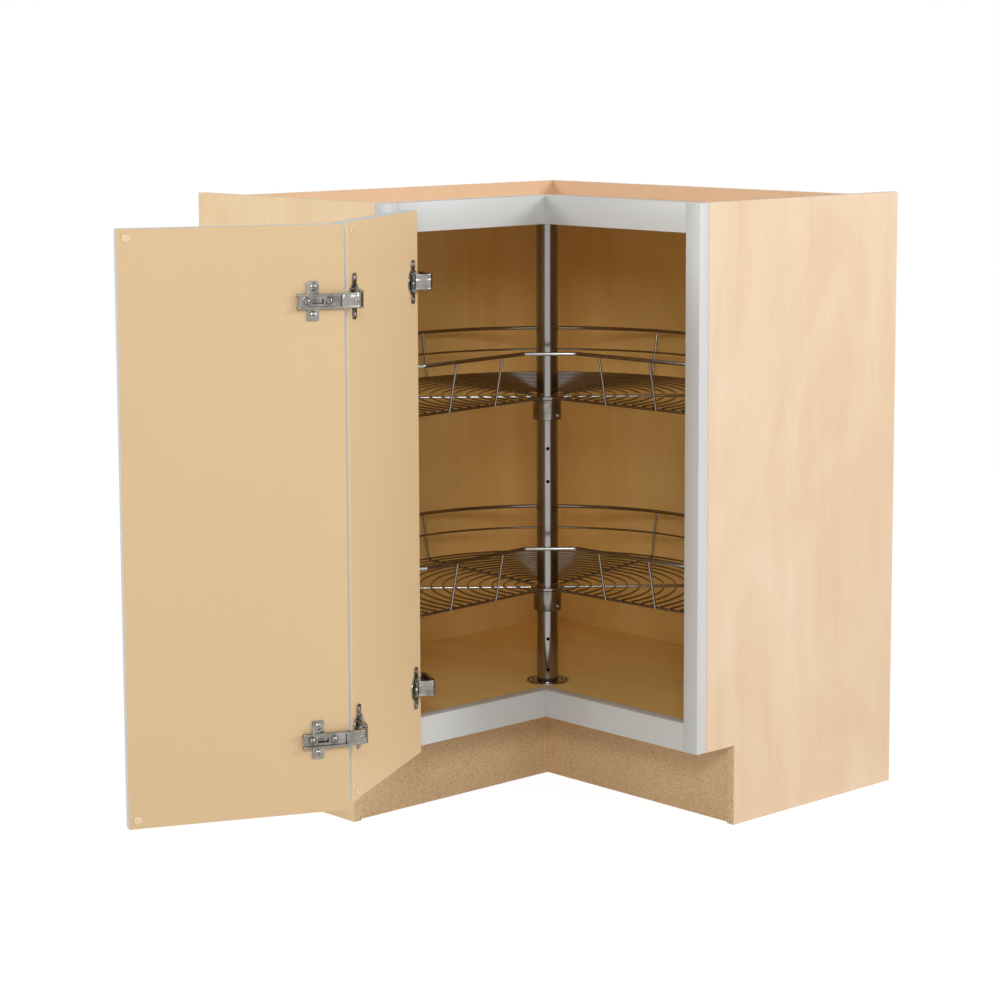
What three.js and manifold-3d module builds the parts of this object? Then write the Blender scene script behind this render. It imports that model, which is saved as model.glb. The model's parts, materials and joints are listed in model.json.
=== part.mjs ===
// Corner base cabinet with a revolving two-basket carousel and a bi-fold door.
// Millimetres, +Z up. It is drawn with the room corner behind it at x = 0, y = 0: one wall runs
// along +X, the other along -Y. The finished group is moved so that the origin lies under its middle.

import * as THREE from 'three';
import { mergeVertices } from 'three/addons/utils/BufferGeometryUtils.js';
import Module from 'manifold-3d';

const wasm = await Module();
wasm.setup();

// ---------- driving dimensions ----------

// Carcass
const WALL_RUN = 720.7;
const SIDE_DEPTH = 419.1;
const CABINET_HEIGHT = 876.3;
const SIDE_THICKNESS = 12.7;
const BACK_THICKNESS = 6;
const BACK_TOP_DROP = 6.3;
const TOE_HEIGHT = 114.3;
const TOE_DEPTH = 76.2;
const TOE_BOARD_THICKNESS = 12.7;
const TOE_BOARD_SETBACK = 6;
const FLOOR_TOP = 139.7;
const FLOOR_THICKNESS = 12.7;
const DECK_THICKNESS = 12.7;

// Face frame
const FRAME_THICKNESS = 19;
const STILE_WIDTH = 26;
const TOP_RAIL_HEIGHT = 41.3;
const BOTTOM_RAIL_HEIGHT = 40.3;

// Door: leaf A hangs on the left stile, leaf B folds on leaf A
const LEAF_THICKNESS = 19;
const DOOR_TOP_REVEAL = 9;
const DOOR_BOTTOM_REVEAL = 3.7;
const DOOR_STANDOFF = 2;
const DOOR_REVEAL = 14.2;
const LEAF_GAP = 1.9;
const LEAF_EDGE_RADIUS = 1.2;
const OPEN_ANGLE = THREE.MathUtils.degToRad(150.6);
const FOLD_ANGLE = THREE.MathUtils.degToRad(36.15);
const SWING_AXIS_ALONG = 3.4;
const SWING_AXIS_DEPTH = 18.4;
const FOLD_AXIS_ALONG = 23;
const FOLD_AXIS_DEPTH = 7.5;

// Door hinges
const HINGE_END_DISTANCE = 95;
const CUP_RADIUS = 17.5;
const CUP_SIDES = 20;
const CUP_COLLAR = 0.2;
const CUP_DEPTH = 11.5;
const CUP_WALL = 1.5;
const CUP_EDGE_DISTANCE = 22;
const CUP_FLANGE_THICKNESS = 1.4;
const CUP_FLANGE_WIDTH = 22;
const CUP_FLANGE_HEIGHT = 60;
const CUP_TONGUE_THICKNESS = 1.6;
const CUP_TONGUE_HEIGHT = 14;
const LINK_HEIGHT = 21;
const LINK_THICKNESS = 6;
const LINK_PIVOT_OUT = 12.5;
const LINK_PIVOT_BACK = 9;
const LINK_CRANK = [24, 14];
const LINK_KNEE_ALONG = 12;
const LINK_KNEE_PROUD = 24;
const LINK_TIP_CLEARANCE = 1;
const CHEEK_THICKNESS = 1.6;
const FRAME_CHEEK_WIDTH = 9;
const FRAME_CHEEK_BEHIND = 5;
const FORK_GAP = 0.5;
const PIN_RADIUS = 1.6;
const FRAME_PLATE_WIDTH = 14;
const FRAME_PLATE_HEIGHT = 50;
const FRAME_PLATE_THICKNESS = 2.5;
const FOLD_PLATE_WIDTH = 16;
const FOLD_PLATE_HEIGHT = 50;
const FOLD_PLATE_THICKNESS = 2;
const FOLD_PLATE_ALONG = 41.5;
const FOLD_PLATE_TONGUE = { height: 18, width: 52, along: 32 };
const FOLD_ARM_LENGTH = 60;
const FOLD_LUG_WIDTH = 8;
const FOLD_LUG_KNEE = { inset: 2, proud: 11 };
const FOLD_LUG_FOOT_INSET = 5;
const FOLD_ARM_THICKNESS = 7;
const FOLD_ARM_HEIGHT = 19;
const FOLD_ARM_KNEES = { rise: 6, run: 16, drop: 2 };
const TAB_CORNER = 5;

// Door bumpers
const BUMPER_RADIUS = 5.5;
const BUMPER_THICKNESS = 1.5;
const BUMPER_INSET = 11;
const BUMPER_CLEAR_OF_FOLD = 4;

// Carousel
const AXIS_FROM_WALL = 330.2;
const CAROUSEL_REST_TURN = THREE.MathUtils.degToRad(4);
const POLE_RADIUS = 15.9;
const POLE_WALL = 2;
const POLE_HOLE_RADIUS = 2.6;
const POLE_HOLE_HEIGHTS = [158.9, 206.2, 444.9, 494.5];
const FLANGE_RADIUS = 32.2;
const FLANGE_THICKNESS = 2.5;
const SPIGOT_HEIGHT = 15;
const SPIGOT_TAPER = 2;
const FLANGE_EASE = 0.8;
const BUSH_THICKNESS = 2;
const FLANGE_SCREW_OFFSET = 25;
const SCREW_HEAD_RADIUS = 4.2;
const SCREW_HEAD_HEIGHT = 2;
const SCREW_SHANK_RADIUS = 2;
const SCREW_SHANK_LENGTH = 12;
const SCREW_TIP_LENGTH = 2;
const SCREW_DOME = 0.7;
const HUB_RADIUS = 21;
const HUB_RIM_RADIUS = 23.5;
const HUB_RIM_HEIGHT = 2.5;
const HUB_HEIGHT = 31;
const HUB_EASE = 1;
const SET_SCREW_RADIUS = 3;
const SET_SCREW_PROUD = 2;
const SET_SCREW_DROP = 24;
const SET_SCREW_ANGLE = 0;

// Wire baskets, heights at the middle of the floor wires
const BASKET_FLOOR_HEIGHTS = { lower: 285.5, upper: 573.5 };
const RAIL_RISE = 69.5;
const MID_WIRE_RISE = 36;
const BASKET_CLEARANCE = 24.2;
const RIM_INSET = 16;
const RAIL_WEDGE_OFFSET = 27.6;
const FLOOR_WEDGE_OFFSET = 8;
const CHAMFER_OFFSET = 82.7;
const RAIL_BEND_RADIUS = 12;
const RAIL_WIRE = 2.9;
const MID_WIRE = 1.6;
const MID_WIRE_INSET = 4;
const UPRIGHT_WIRE = 1.7;
const FLOOR_WIRE = 1.5;
const SPOKE_WIRE = 2.1;
const FLOOR_WIRE_PITCH = 18.2;
const FLOOR_WIRE_INNERMOST = 47;
const HUB_RING_RADIUS = 25;
const HUB_RING_THICKNESS = 4.6;
const WEDGE_UPRIGHT_INSETS = [158, 63];
const SPOKE_ANGLES = [45, 97, 135, 173, 225];
const WELD = 0.5;
const SPOKE_LAP = { hub: 4, hubEdge: 6, rim: 1 };

// Clearances
const SEAT = 0.3;
const RUNNING = 0.5;
const DRILL_OVERRUN = 2;

// Facets
const TURNED_SIDES = 24;
const SMALL_SIDES = 12;
const SPOKE_SIDES = 5;
const RAIL_SIDES = 6;
const FLOOR_WIRE_SIDES = 4;
const BUMPER_SIDES = 16;

// ---------- solids ----------

function outlineShape(points) {
  return new THREE.Shape(points.map(([a, b]) => new THREE.Vector2(a, b)));
}

// A flat outline made solid between two places on an axis. The outline is given as (x, y) for
// the z axis, (y, z) for the x axis and (z, x) for the y axis.
function prism(points, axis, low, high) {
  const geometry = new THREE.ExtrudeGeometry(outlineShape(points), { depth: 1, bevelEnabled: false });
  const place = geometry.attributes.position;
  for (let i = 0; i < place.count; i += 1) {
    const a = place.getX(i);
    const b = place.getY(i);
    const h = place.getZ(i) > 0.5 ? high : low;
    if (axis === 'x') place.setXYZ(i, h, a, b);
    if (axis === 'y') place.setXYZ(i, b, h, a);
    if (axis === 'z') place.setXYZ(i, a, b, h);
  }
  geometry.computeVertexNormals();
  return geometry;
}

function block(x0, x1, y0, y1, z0, z1) {
  return prism([[x0, y0], [x1, y0], [x1, y1], [x0, y1]], 'z', z0, z1);
}

// A board of one leg of the cabinet: `along` runs down the wall from the room corner, `out`
// runs from the wall into the room. The two legs mirror each other.
function legBlock(leg, along, out, height) {
  if (leg === 'right') return block(along[0], along[1], -out[1], -out[0], ...height);
  return block(out[0], out[1], -along[1], -along[0], ...height);
}

// A turned piece about the z axis. The profile is (radius, height), up on its outer side.
function turned(profile, segments = TURNED_SIDES) {
  const points = profile.map(([r, h]) => new THREE.Vector2(r, h));
  return new THREE.LatheGeometry(points, segments).rotateX(Math.PI / 2);
}

function ring(inner, outer, low, high) {
  return turned([[inner, low], [outer, low], [outer, high], [inner, high], [inner, low]]);
}

function rod(from, to, radius, sides) {
  const start = new THREE.Vector3(...from);
  const end = new THREE.Vector3(...to);
  const way = end.clone().sub(start);
  const turn = new THREE.Quaternion().setFromUnitVectors(new THREE.Vector3(0, 1, 0), way.clone().normalize());
  const geometry = new THREE.CylinderGeometry(radius, radius, way.length(), sides);
  return geometry.applyQuaternion(turn).translate(...start.add(end).multiplyScalar(0.5).toArray());
}

// The path of a bent wire: one section stands at each of its points.
class BentWire extends THREE.Curve {
  constructor(points) {
    super();
    this.points = points.map((p) => new THREE.Vector3(...p));
  }
  indexAt(t) {
    return Math.round(t * (this.points.length - 1));
  }
  getPoint(t, target = new THREE.Vector3()) {
    return target.copy(this.points[this.indexAt(t)]);
  }
  getPointAt(t, target) {
    return this.getPoint(t, target);
  }
  getTangentAt(t, target = new THREE.Vector3()) {
    const i = this.indexAt(t);
    const before = this.points[Math.max(i - 1, 0)];
    const here = this.points[i];
    const after = this.points[Math.min(i + 1, this.points.length - 1)];
    const arriving = here.clone().sub(before).normalize();
    const leaving = after.clone().sub(here).normalize();
    return target.copy(arriving.add(leaving)).normalize();
  }
}

function wire(points, radius, sides) {
  const section = new THREE.Shape();
  for (let i = 0; i < sides; i += 1) {
    const angle = (2 * Math.PI * i) / sides;
    const corner = [radius * Math.cos(angle), radius * Math.sin(angle)];
    if (i === 0) section.moveTo(...corner);
    else section.lineTo(...corner);
  }
  section.closePath();
  const extrudePath = new BentWire(points);
  return new THREE.ExtrudeGeometry(section, { steps: points.length - 1, extrudePath, bevelEnabled: false });
}

// The outline of a flat strap of one width that follows a line of points, with round ends.
function strapOutline(points, halfWidth) {
  const line = points.map((p) => new THREE.Vector2(...p));
  const sideways = (from, to) => {
    const way = to.clone().sub(from).normalize();
    return new THREE.Vector2(-way.y, way.x);
  };
  const edge = (sign) => line.map((p, i) => {
    const before = sideways(line[Math.max(i - 1, 0)], line[Math.max(i, 1)]);
    const after = sideways(line[Math.min(i, line.length - 2)], line[Math.min(i + 1, line.length - 1)]);
    const middle = before.clone().add(after).normalize();
    return p.clone().addScaledVector(middle, (sign * halfWidth) / middle.dot(before));
  });
  const cap = (centre, from) => [1, 2, 3, 4, 5].map((k) => {
    const arm = from.clone().sub(centre).rotateAround(new THREE.Vector2(), (-Math.PI * k) / 6);
    return arm.add(centre);
  });
  const left = edge(1);
  const right = edge(-1).reverse();
  const last = line[line.length - 1];
  const farEnd = cap(last, left[left.length - 1]);
  const nearEnd = cap(line[0], right[right.length - 1]);
  return [...left, ...farEnd, ...right, ...nearEnd].map((p) => [p.x, p.y]);
}

function roundedOutline(width, height, radius, steps = 3) {
  const points = [];
  const corners = [[1, -1, -90], [1, 1, 0], [-1, 1, 90], [-1, -1, 180]];
  for (const [sx, sy, start] of corners) {
    for (let k = 0; k <= steps; k += 1) {
      const angle = THREE.MathUtils.degToRad(start + (90 * k) / steps);
      points.push([
        sx * (width / 2 - radius) + radius * Math.cos(angle),
        sy * (height / 2 - radius) + radius * Math.sin(angle),
      ]);
    }
  }
  return points;
}

// ---------- joining and cutting ----------

function solid(geometry) {
  const bare = geometry.clone();
  bare.deleteAttribute('normal');
  bare.deleteAttribute('uv');
  const merged = mergeVertices(bare, 1e-4);
  const vertProperties = new Float32Array(merged.attributes.position.array);
  const triVerts = new Uint32Array(merged.index.array);
  return new wasm.Manifold(new wasm.Mesh({ numProp: 3, vertProperties, triVerts }));
}

function surface(body) {
  const mesh = body.getMesh();
  const geometry = new THREE.BufferGeometry();
  geometry.setAttribute('position', new THREE.BufferAttribute(new Float32Array(mesh.vertProperties), 3));
  geometry.setIndex(new THREE.BufferAttribute(new Uint32Array(mesh.triVerts), 1));
  geometry.computeVertexNormals();
  return geometry;
}

function joined(geometries) {
  return surface(geometries.map(solid).reduce((sum, next) => sum.add(next)));
}

function cut(geometry, tools) {
  return surface(tools.map(solid).reduce((rest, tool) => rest.subtract(tool), solid(geometry)));
}

// ---------- finishes ----------

function finish(color, roughness, metalness = 0) {
  return () => new THREE.MeshStandardMaterial({ color, roughness, metalness });
}

const greyPaint = finish(0xccccc5, 0.45);
const mapleLaminate = finish(0xedd2b0, 0.55);
const amberMaple = finish(0xa0703c, 0.5);
const chipboard = finish(0xb0915f, 0.9);
const beigeMelamine = finish(0xe3c4a0, 0.5);
const chrome = finish(0xd8d8da, 0.12, 1);
const nickel = finish(0xb4b4b0, 0.3, 1);
const nylon = finish(0xe8e6e0, 0.5);
const clearPad = finish(0xdcd8cc, 0.3);

const cabinet = new THREE.Group();

function add(parent, name, geometry, material) {
  const mesh = new THREE.Mesh(geometry, material());
  mesh.name = name;
  parent.add(mesh);
  return mesh;
}

// ---------- carcass ----------

const FRAME_BACK = SIDE_DEPTH - FRAME_THICKNESS;
const SIDE_INNER = WALL_RUN - SIDE_THICKNESS;
const NOTCH_FACE = SIDE_DEPTH - TOE_DEPTH;
const TOE_FACE = NOTCH_FACE - TOE_BOARD_SETBACK;
const TOE_BACK = TOE_FACE - TOE_BOARD_THICKNESS;
const FLOOR_UNDERSIDE = FLOOR_TOP - FLOOR_THICKNESS;
const OPENING_TOP = CABINET_HEIGHT - TOP_RAIL_HEIGHT;
const OPENING_BOTTOM = TOE_HEIGHT + BOTTOM_RAIL_HEIGHT;
const BACK_TOP = CABINET_HEIGHT - BACK_TOP_DROP;

// End panel with its toe notch, seen from the side: (out from the wall, height)
function sidePanel(leg) {
  const profile = [
    [0, 0], [NOTCH_FACE, 0], [NOTCH_FACE, TOE_HEIGHT], [FRAME_BACK, TOE_HEIGHT],
    [FRAME_BACK, CABINET_HEIGHT], [0, CABINET_HEIGHT],
  ];
  if (leg === 'right') return prism(profile.map(([out, z]) => [-out, z]), 'x', SIDE_INNER, WALL_RUN);
  return prism(profile.map(([out, z]) => [z, out]), 'y', -WALL_RUN, -SIDE_INNER);
}

// Pie-cut board that fills the cabinet's plan behind the face frame
function pieCutBoard(low, high) {
  const outline = [
    [BACK_THICKNESS, -BACK_THICKNESS], [SIDE_INNER, -BACK_THICKNESS], [SIDE_INNER, -FRAME_BACK],
    [FRAME_BACK, -FRAME_BACK], [FRAME_BACK, -SIDE_INNER], [BACK_THICKNESS, -SIDE_INNER],
  ];
  return prism(outline, 'z', low, high);
}

// Screws stand either side of the pole, square to the cabinet's diagonal.
const sidewaysAt = (distance, sign) => [
  AXIS_FROM_WALL + (sign * distance) / Math.SQRT2,
  -AXIS_FROM_WALL + (sign * distance) / Math.SQRT2,
];

function screwHoles(radius, low, high) {
  return [-1, 1].map((sign) => {
    const [x, y] = sidewaysAt(FLANGE_SCREW_OFFSET, sign);
    return rod([x, y, low], [x, y, high], radius, SMALL_SIDES);
  });
}

for (const leg of ['left', 'right']) {
  // One board of each pair runs through the corner, and the other butts against it.
  const through = leg === 'right';
  const side = [SIDE_INNER, WALL_RUN];
  const stile = [WALL_RUN - STILE_WIDTH, WALL_RUN];
  const rail = [through ? FRAME_BACK : SIDE_DEPTH, WALL_RUN - STILE_WIDTH];
  const frame = [FRAME_BACK, SIDE_DEPTH];
  add(cabinet, `${leg}_side_panel`, sidePanel(leg), mapleLaminate);
  add(cabinet, `${leg}_back_panel`,
    legBlock(leg, [through ? 0 : BACK_THICKNESS, side[0]], [0, BACK_THICKNESS], [0, BACK_TOP]),
    amberMaple);
  add(cabinet, `${leg}_toe_board`,
    legBlock(leg, [through ? TOE_BACK : TOE_FACE, side[0]], [TOE_BACK, TOE_FACE], [0, FLOOR_UNDERSIDE]),
    chipboard);
  add(cabinet, `${leg}_stile`, legBlock(leg, stile, frame, [TOE_HEIGHT, CABINET_HEIGHT]), greyPaint);
  add(cabinet, `${leg}_top_rail`, legBlock(leg, rail, frame, [OPENING_TOP, CABINET_HEIGHT]), greyPaint);
  add(cabinet, `${leg}_bottom_rail`, legBlock(leg, rail, frame, [TOE_HEIGHT, OPENING_BOTTOM]), greyPaint);
}

const shankTip = FLOOR_TOP + FLANGE_THICKNESS - SCREW_SHANK_LENGTH;
const deckShankTip = OPENING_TOP - FLANGE_THICKNESS + SCREW_SHANK_LENGTH;
const shankHole = SCREW_SHANK_RADIUS + SEAT;
add(cabinet, 'floor_panel', cut(pieCutBoard(FLOOR_UNDERSIDE, FLOOR_TOP),
  screwHoles(shankHole, shankTip - SEAT, FLOOR_TOP + DRILL_OVERRUN)), amberMaple);
add(cabinet, 'top_deck', cut(pieCutBoard(OPENING_TOP, OPENING_TOP + DECK_THICKNESS),
  screwHoles(shankHole, OPENING_TOP - DRILL_OVERRUN, deckShankTip + SEAT)), amberMaple);

// ---------- carousel bearings, fixed to the carcass ----------

const POLE_BORE = POLE_RADIUS - POLE_WALL;
const SPIGOT_RADIUS = POLE_BORE - RUNNING;

// Both end fittings are alike: a flange, a spigot inside the pole and two screws. `base` is the
// board's face and `up` says which way the fitting faces.
function endFitting(name, base, up) {
  const fitting = new THREE.Group();
  fitting.position.set(AXIS_FROM_WALL, -AXIS_FROM_WALL, base);
  if (up < 0) fitting.rotation.x = Math.PI;
  cabinet.add(fitting);
  const body = turned([
    [0, 0], [FLANGE_RADIUS - FLANGE_EASE, 0], [FLANGE_RADIUS, FLANGE_EASE],
    [FLANGE_RADIUS, FLANGE_THICKNESS], [SPIGOT_RADIUS, FLANGE_THICKNESS],
    [SPIGOT_RADIUS, SPIGOT_HEIGHT - SPIGOT_TAPER], [SPIGOT_RADIUS - SPIGOT_TAPER, SPIGOT_HEIGHT],
    [0, SPIGOT_HEIGHT],
  ]);
  const placeOf = (sign) => {
    const along = (sign * FLANGE_SCREW_OFFSET) / Math.SQRT2;
    return [along, up > 0 ? along : -along];
  };
  const holes = [-1, 1].map((sign) => {
    const [x, y] = placeOf(sign);
    return rod([x, y, -DRILL_OVERRUN], [x, y, FLANGE_THICKNESS + DRILL_OVERRUN], shankHole, SMALL_SIDES);
  });
  add(fitting, `${name}_flange`, cut(body, holes), chrome);
  const face = FLANGE_THICKNESS + SEAT;
  const bush = ring(SPIGOT_RADIUS + SEAT, POLE_RADIUS - SEAT, face, face + BUSH_THICKNESS);
  add(fitting, `${name}_bush`, bush, nylon);
  for (const [sign, hand] of [[-1, 'left'], [1, 'right']]) {
    const [x, y] = placeOf(sign);
    const tip = face - SCREW_SHANK_LENGTH;
    const crown = face + SCREW_HEAD_HEIGHT;
    const screw = turned([
      [0, tip], [SCREW_SHANK_RADIUS, tip + SCREW_TIP_LENGTH], [SCREW_SHANK_RADIUS, face],
      [SCREW_HEAD_RADIUS, face], [SCREW_HEAD_RADIUS * SCREW_DOME, crown], [0, crown],
    ], SMALL_SIDES);
    add(fitting, `${name}_flange_screw_${hand}`, screw, nickel).position.set(x, y, 0);
  }
}

endFitting('base', FLOOR_TOP, 1);
endFitting('head', OPENING_TOP, -1);

// ---------- carousel: pole, hubs and wire baskets, all drawn about the pole ----------

const carousel = new THREE.Group();
carousel.position.set(AXIS_FROM_WALL, -AXIS_FROM_WALL, 0);
carousel.rotation.z = CAROUSEL_REST_TURN;
cabinet.add(carousel);

const RAIL_RADIUS = AXIS_FROM_WALL - BACK_THICKNESS - BASKET_CLEARANCE;
const RIM_RADIUS = RAIL_RADIUS - RIM_INSET;
const endStack = FLANGE_THICKNESS + SEAT + BUSH_THICKNESS + SEAT;
const forward = (distance) => [distance / Math.SQRT2, -distance / Math.SQRT2];

function poleTube() {
  const tube = ring(POLE_BORE, POLE_RADIUS, FLOOR_TOP + endStack, OPENING_TOP - endStack);
  const drills = POLE_HOLE_HEIGHTS.map((z) => {
    const inner = forward(POLE_BORE - DRILL_OVERRUN);
    const outer = forward(POLE_RADIUS + DRILL_OVERRUN);
    return rod([...inner, z], [...outer, z], POLE_HOLE_RADIUS, SMALL_SIDES);
  });
  return cut(tube, drills);
}
add(carousel, 'pole', poleTube(), chrome);

const polar = (radius, degrees) => {
  const angle = THREE.MathUtils.degToRad(degrees);
  return [radius * Math.cos(angle), radius * Math.sin(angle)];
};

// The wedge side of the basket at right runs along +X; the one at left runs along -Y.
const onWedge = (hand, along, offset) => (hand === 'right' ? [along, -offset] : [offset, -along]);

// Points on the outer arc, from the right wedge side round the back to the left one
function arcPoints(radius, offset, z, stepDegrees) {
  const lead = THREE.MathUtils.radToDeg(Math.asin(offset / radius));
  const sweep = 270 + 2 * lead;
  const steps = Math.round(sweep / stepDegrees);
  return Array.from({ length: steps + 1 }, (_, i) => [...polar(radius, -lead + (sweep * i) / steps), z]);
}

// A bend of the rail at a corner of its outline, from one straight run into the next
function bend(before, corner, after, radius, steps = 3) {
  const at = new THREE.Vector2(...corner);
  const inward = new THREE.Vector2(...before).sub(at).normalize();
  const outward = new THREE.Vector2(...after).sub(at).normalize();
  const half = Math.acos(THREE.MathUtils.clamp(inward.dot(outward), -1, 1)) / 2;
  const reach = radius / Math.tan(half);
  const start = at.clone().addScaledVector(inward, reach);
  const end = at.clone().addScaledVector(outward, reach);
  const curve = new THREE.QuadraticBezierCurve(start, at, end);
  return curve.getPoints(steps).map((p) => [p.x, p.y]);
}

// Floor: concentric wires lying on radial spokes, all welded to a ring on the hub
function basketFloor(z) {
  const spokeHeight = z - SPOKE_WIRE - FLOOR_WIRE + WELD;
  const half = HUB_RING_THICKNESS / 2;
  const pieces = [ring(POLE_RADIUS + SEAT, HUB_RING_RADIUS, spokeHeight - half, spokeHeight + half)];
  const spoke = (inner, outer) => {
    pieces.push(rod([...inner, spokeHeight], [...outer, spokeHeight], SPOKE_WIRE, SPOKE_SIDES));
  };
  for (const angle of SPOKE_ANGLES) {
    spoke(polar(HUB_RING_RADIUS - SPOKE_LAP.hub, angle), polar(RIM_RADIUS + SPOKE_LAP.rim, angle));
  }
  const edgeReach = Math.sqrt(RIM_RADIUS ** 2 - FLOOR_WEDGE_OFFSET ** 2) + SPOKE_LAP.rim;
  for (const hand of ['left', 'right']) {
    const inner = onWedge(hand, HUB_RING_RADIUS - SPOKE_LAP.hubEdge, FLOOR_WEDGE_OFFSET);
    spoke(inner, onWedge(hand, edgeReach, FLOOR_WEDGE_OFFSET));
  }
  for (let radius = RIM_RADIUS; radius > FLOOR_WIRE_INNERMOST; radius -= FLOOR_WIRE_PITCH) {
    const step = radius > RIM_RADIUS / 2 ? 15 : 22.5;
    pieces.push(wire(arcPoints(radius, FLOOR_WEDGE_OFFSET, z, step), FLOOR_WIRE, FLOOR_WIRE_SIDES));
  }
  return joined(pieces);
}

// Guard rail: a heavy top rail bent to the pie-cut outline, a light wire half way up the round
// side, and uprights that lean out from the floor's rim to the rail
function basketRail(z) {
  const top = z + RAIL_RISE;
  const rimFoot = z - FLOOR_WIRE;
  const edgeFoot = rimFoot - SPOKE_WIRE;
  const round = arcPoints(RAIL_RADIUS, RAIL_WEDGE_OFFSET, top, 10);
  const [start] = round;
  const end = round[round.length - 1];
  const knees = ['left', 'right'].map((hand) => onWedge(hand, CHAMFER_OFFSET, RAIL_WEDGE_OFFSET));
  const straight = [
    end,
    ...bend(end.slice(0, 2), knees[0], knees[1], RAIL_BEND_RADIUS).map((p) => [...p, top]),
    ...bend(knees[0], knees[1], start.slice(0, 2), RAIL_BEND_RADIUS).map((p) => [...p, top]),
    start,
  ];
  const midRadius = RAIL_RADIUS - RIM_INSET * (1 - MID_WIRE_RISE / RAIL_RISE) + FLOOR_WIRE;
  const mid = arcPoints(midRadius, RAIL_WEDGE_OFFSET - MID_WIRE_INSET, z + MID_WIRE_RISE, 12);
  const pieces = [
    wire(round, RAIL_WIRE, RAIL_SIDES),
    wire(straight, RAIL_WIRE, RAIL_SIDES),
    wire(mid, MID_WIRE, SPOKE_SIDES),
  ];
  const upright = (low, high) => pieces.push(rod(low, high, UPRIGHT_WIRE, RAIL_SIDES));
  const clearOfRim = FLOOR_WIRE + SEAT + UPRIGHT_WIRE;
  for (const angle of SPOKE_ANGLES) {
    upright([...polar(RIM_RADIUS + clearOfRim, angle), rimFoot], [...polar(RAIL_RADIUS, angle), top]);
  }
  const clearOfEdge = FLOOR_WEDGE_OFFSET + SPOKE_WIRE + SEAT + UPRIGHT_WIRE;
  for (const hand of ['left', 'right']) {
    for (const inset of WEDGE_UPRIGHT_INSETS) {
      const along = RIM_RADIUS - inset;
      upright([...onWedge(hand, along, clearOfEdge), edgeFoot],
        [...onWedge(hand, along, RAIL_WEDGE_OFFSET), top]);
    }
  }
  return joined(pieces);
}

// Hub sleeve under each basket, clamped to the pole by a set-screw near its foot
function hubSleeve(top) {
  const bottom = top - HUB_HEIGHT;
  const bore = POLE_RADIUS + SEAT;
  const sleeve = turned([
    [bore, bottom], [HUB_RADIUS - HUB_EASE, bottom], [HUB_RADIUS, bottom + HUB_EASE],
    [HUB_RADIUS, top - HUB_RIM_HEIGHT], [HUB_RIM_RADIUS, top - HUB_RIM_HEIGHT],
    [HUB_RIM_RADIUS, top], [bore, top], [bore, bottom],
  ]);
  const z = top - SET_SCREW_DROP;
  const from = polar(POLE_RADIUS - DRILL_OVERRUN, SET_SCREW_ANGLE);
  const to = polar(HUB_RADIUS + DRILL_OVERRUN, SET_SCREW_ANGLE);
  return cut(sleeve, [rod([...from, z], [...to, z], SET_SCREW_RADIUS + SEAT, SMALL_SIDES)]);
}

for (const [name, z] of Object.entries(BASKET_FLOOR_HEIGHTS)) {
  const hubTop = z - SPOKE_WIRE - FLOOR_WIRE + WELD - HUB_RING_THICKNESS / 2 - SEAT;
  const screwHeight = hubTop - SET_SCREW_DROP;
  add(carousel, `${name}_basket_floor`, basketFloor(z), chrome);
  add(carousel, `${name}_basket_rail`, basketRail(z), chrome);
  add(carousel, `${name}_hub`, hubSleeve(hubTop), nickel);
  const tip = polar(POLE_RADIUS + SEAT, SET_SCREW_ANGLE);
  const head = polar(HUB_RADIUS + SET_SCREW_PROUD, SET_SCREW_ANGLE);
  const screw = rod([...tip, screwHeight], [...head, screwHeight], SET_SCREW_RADIUS, SMALL_SIDES);
  add(carousel, `${name}_set_screw`, screw, nickel);
}

// ---------- bi-fold door ----------

// Each leaf is drawn flat in its own axes: x along the leaf, y out of its inner face, z up.
const LEAF_TOP = CABINET_HEIGHT - DOOR_TOP_REVEAL;
const LEAF_BOTTOM = TOE_HEIGHT + DOOR_BOTTOM_REVEAL;
const INNER_FACE = SIDE_DEPTH + DOOR_STANDOFF;
const LEAF_FAR_EDGE = WALL_RUN - DOOR_REVEAL;
const LEAF_B_WIDTH = LEAF_FAR_EDGE - INNER_FACE;
const LEAF_A_WIDTH = LEAF_FAR_EDGE - (INNER_FACE + LEAF_THICKNESS + LEAF_GAP);
const HINGE_HEIGHTS = { upper: LEAF_TOP - HINGE_END_DISTANCE, lower: LEAF_BOTTOM + HINGE_END_DISTANCE };

// The fold axis in leaf A's axes, from where it lies on leaf B when the door is shut
const FOLD_ON_A = [LEAF_FAR_EDGE - INNER_FACE - FOLD_AXIS_DEPTH, FOLD_AXIS_ALONG];

const leafA = new THREE.Group();
const leafAShut = new THREE.Group();
leafA.position.set(INNER_FACE + SWING_AXIS_DEPTH, -LEAF_FAR_EDGE + SWING_AXIS_ALONG, 0);
leafA.rotation.z = Math.PI / 2 - OPEN_ANGLE;
leafAShut.position.set(-SWING_AXIS_ALONG, SWING_AXIS_DEPTH, 0);
leafA.add(leafAShut);
cabinet.add(leafA);

const leafB = new THREE.Group();
const leafBShut = new THREE.Group();
leafB.position.set(FOLD_ON_A[0], FOLD_ON_A[1], 0);
leafB.rotation.z = -Math.PI / 2 + FOLD_ANGLE;
leafBShut.position.set(FOLD_AXIS_ALONG, FOLD_AXIS_DEPTH, 0);
leafB.add(leafBShut);
leafAShut.add(leafB);

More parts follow.
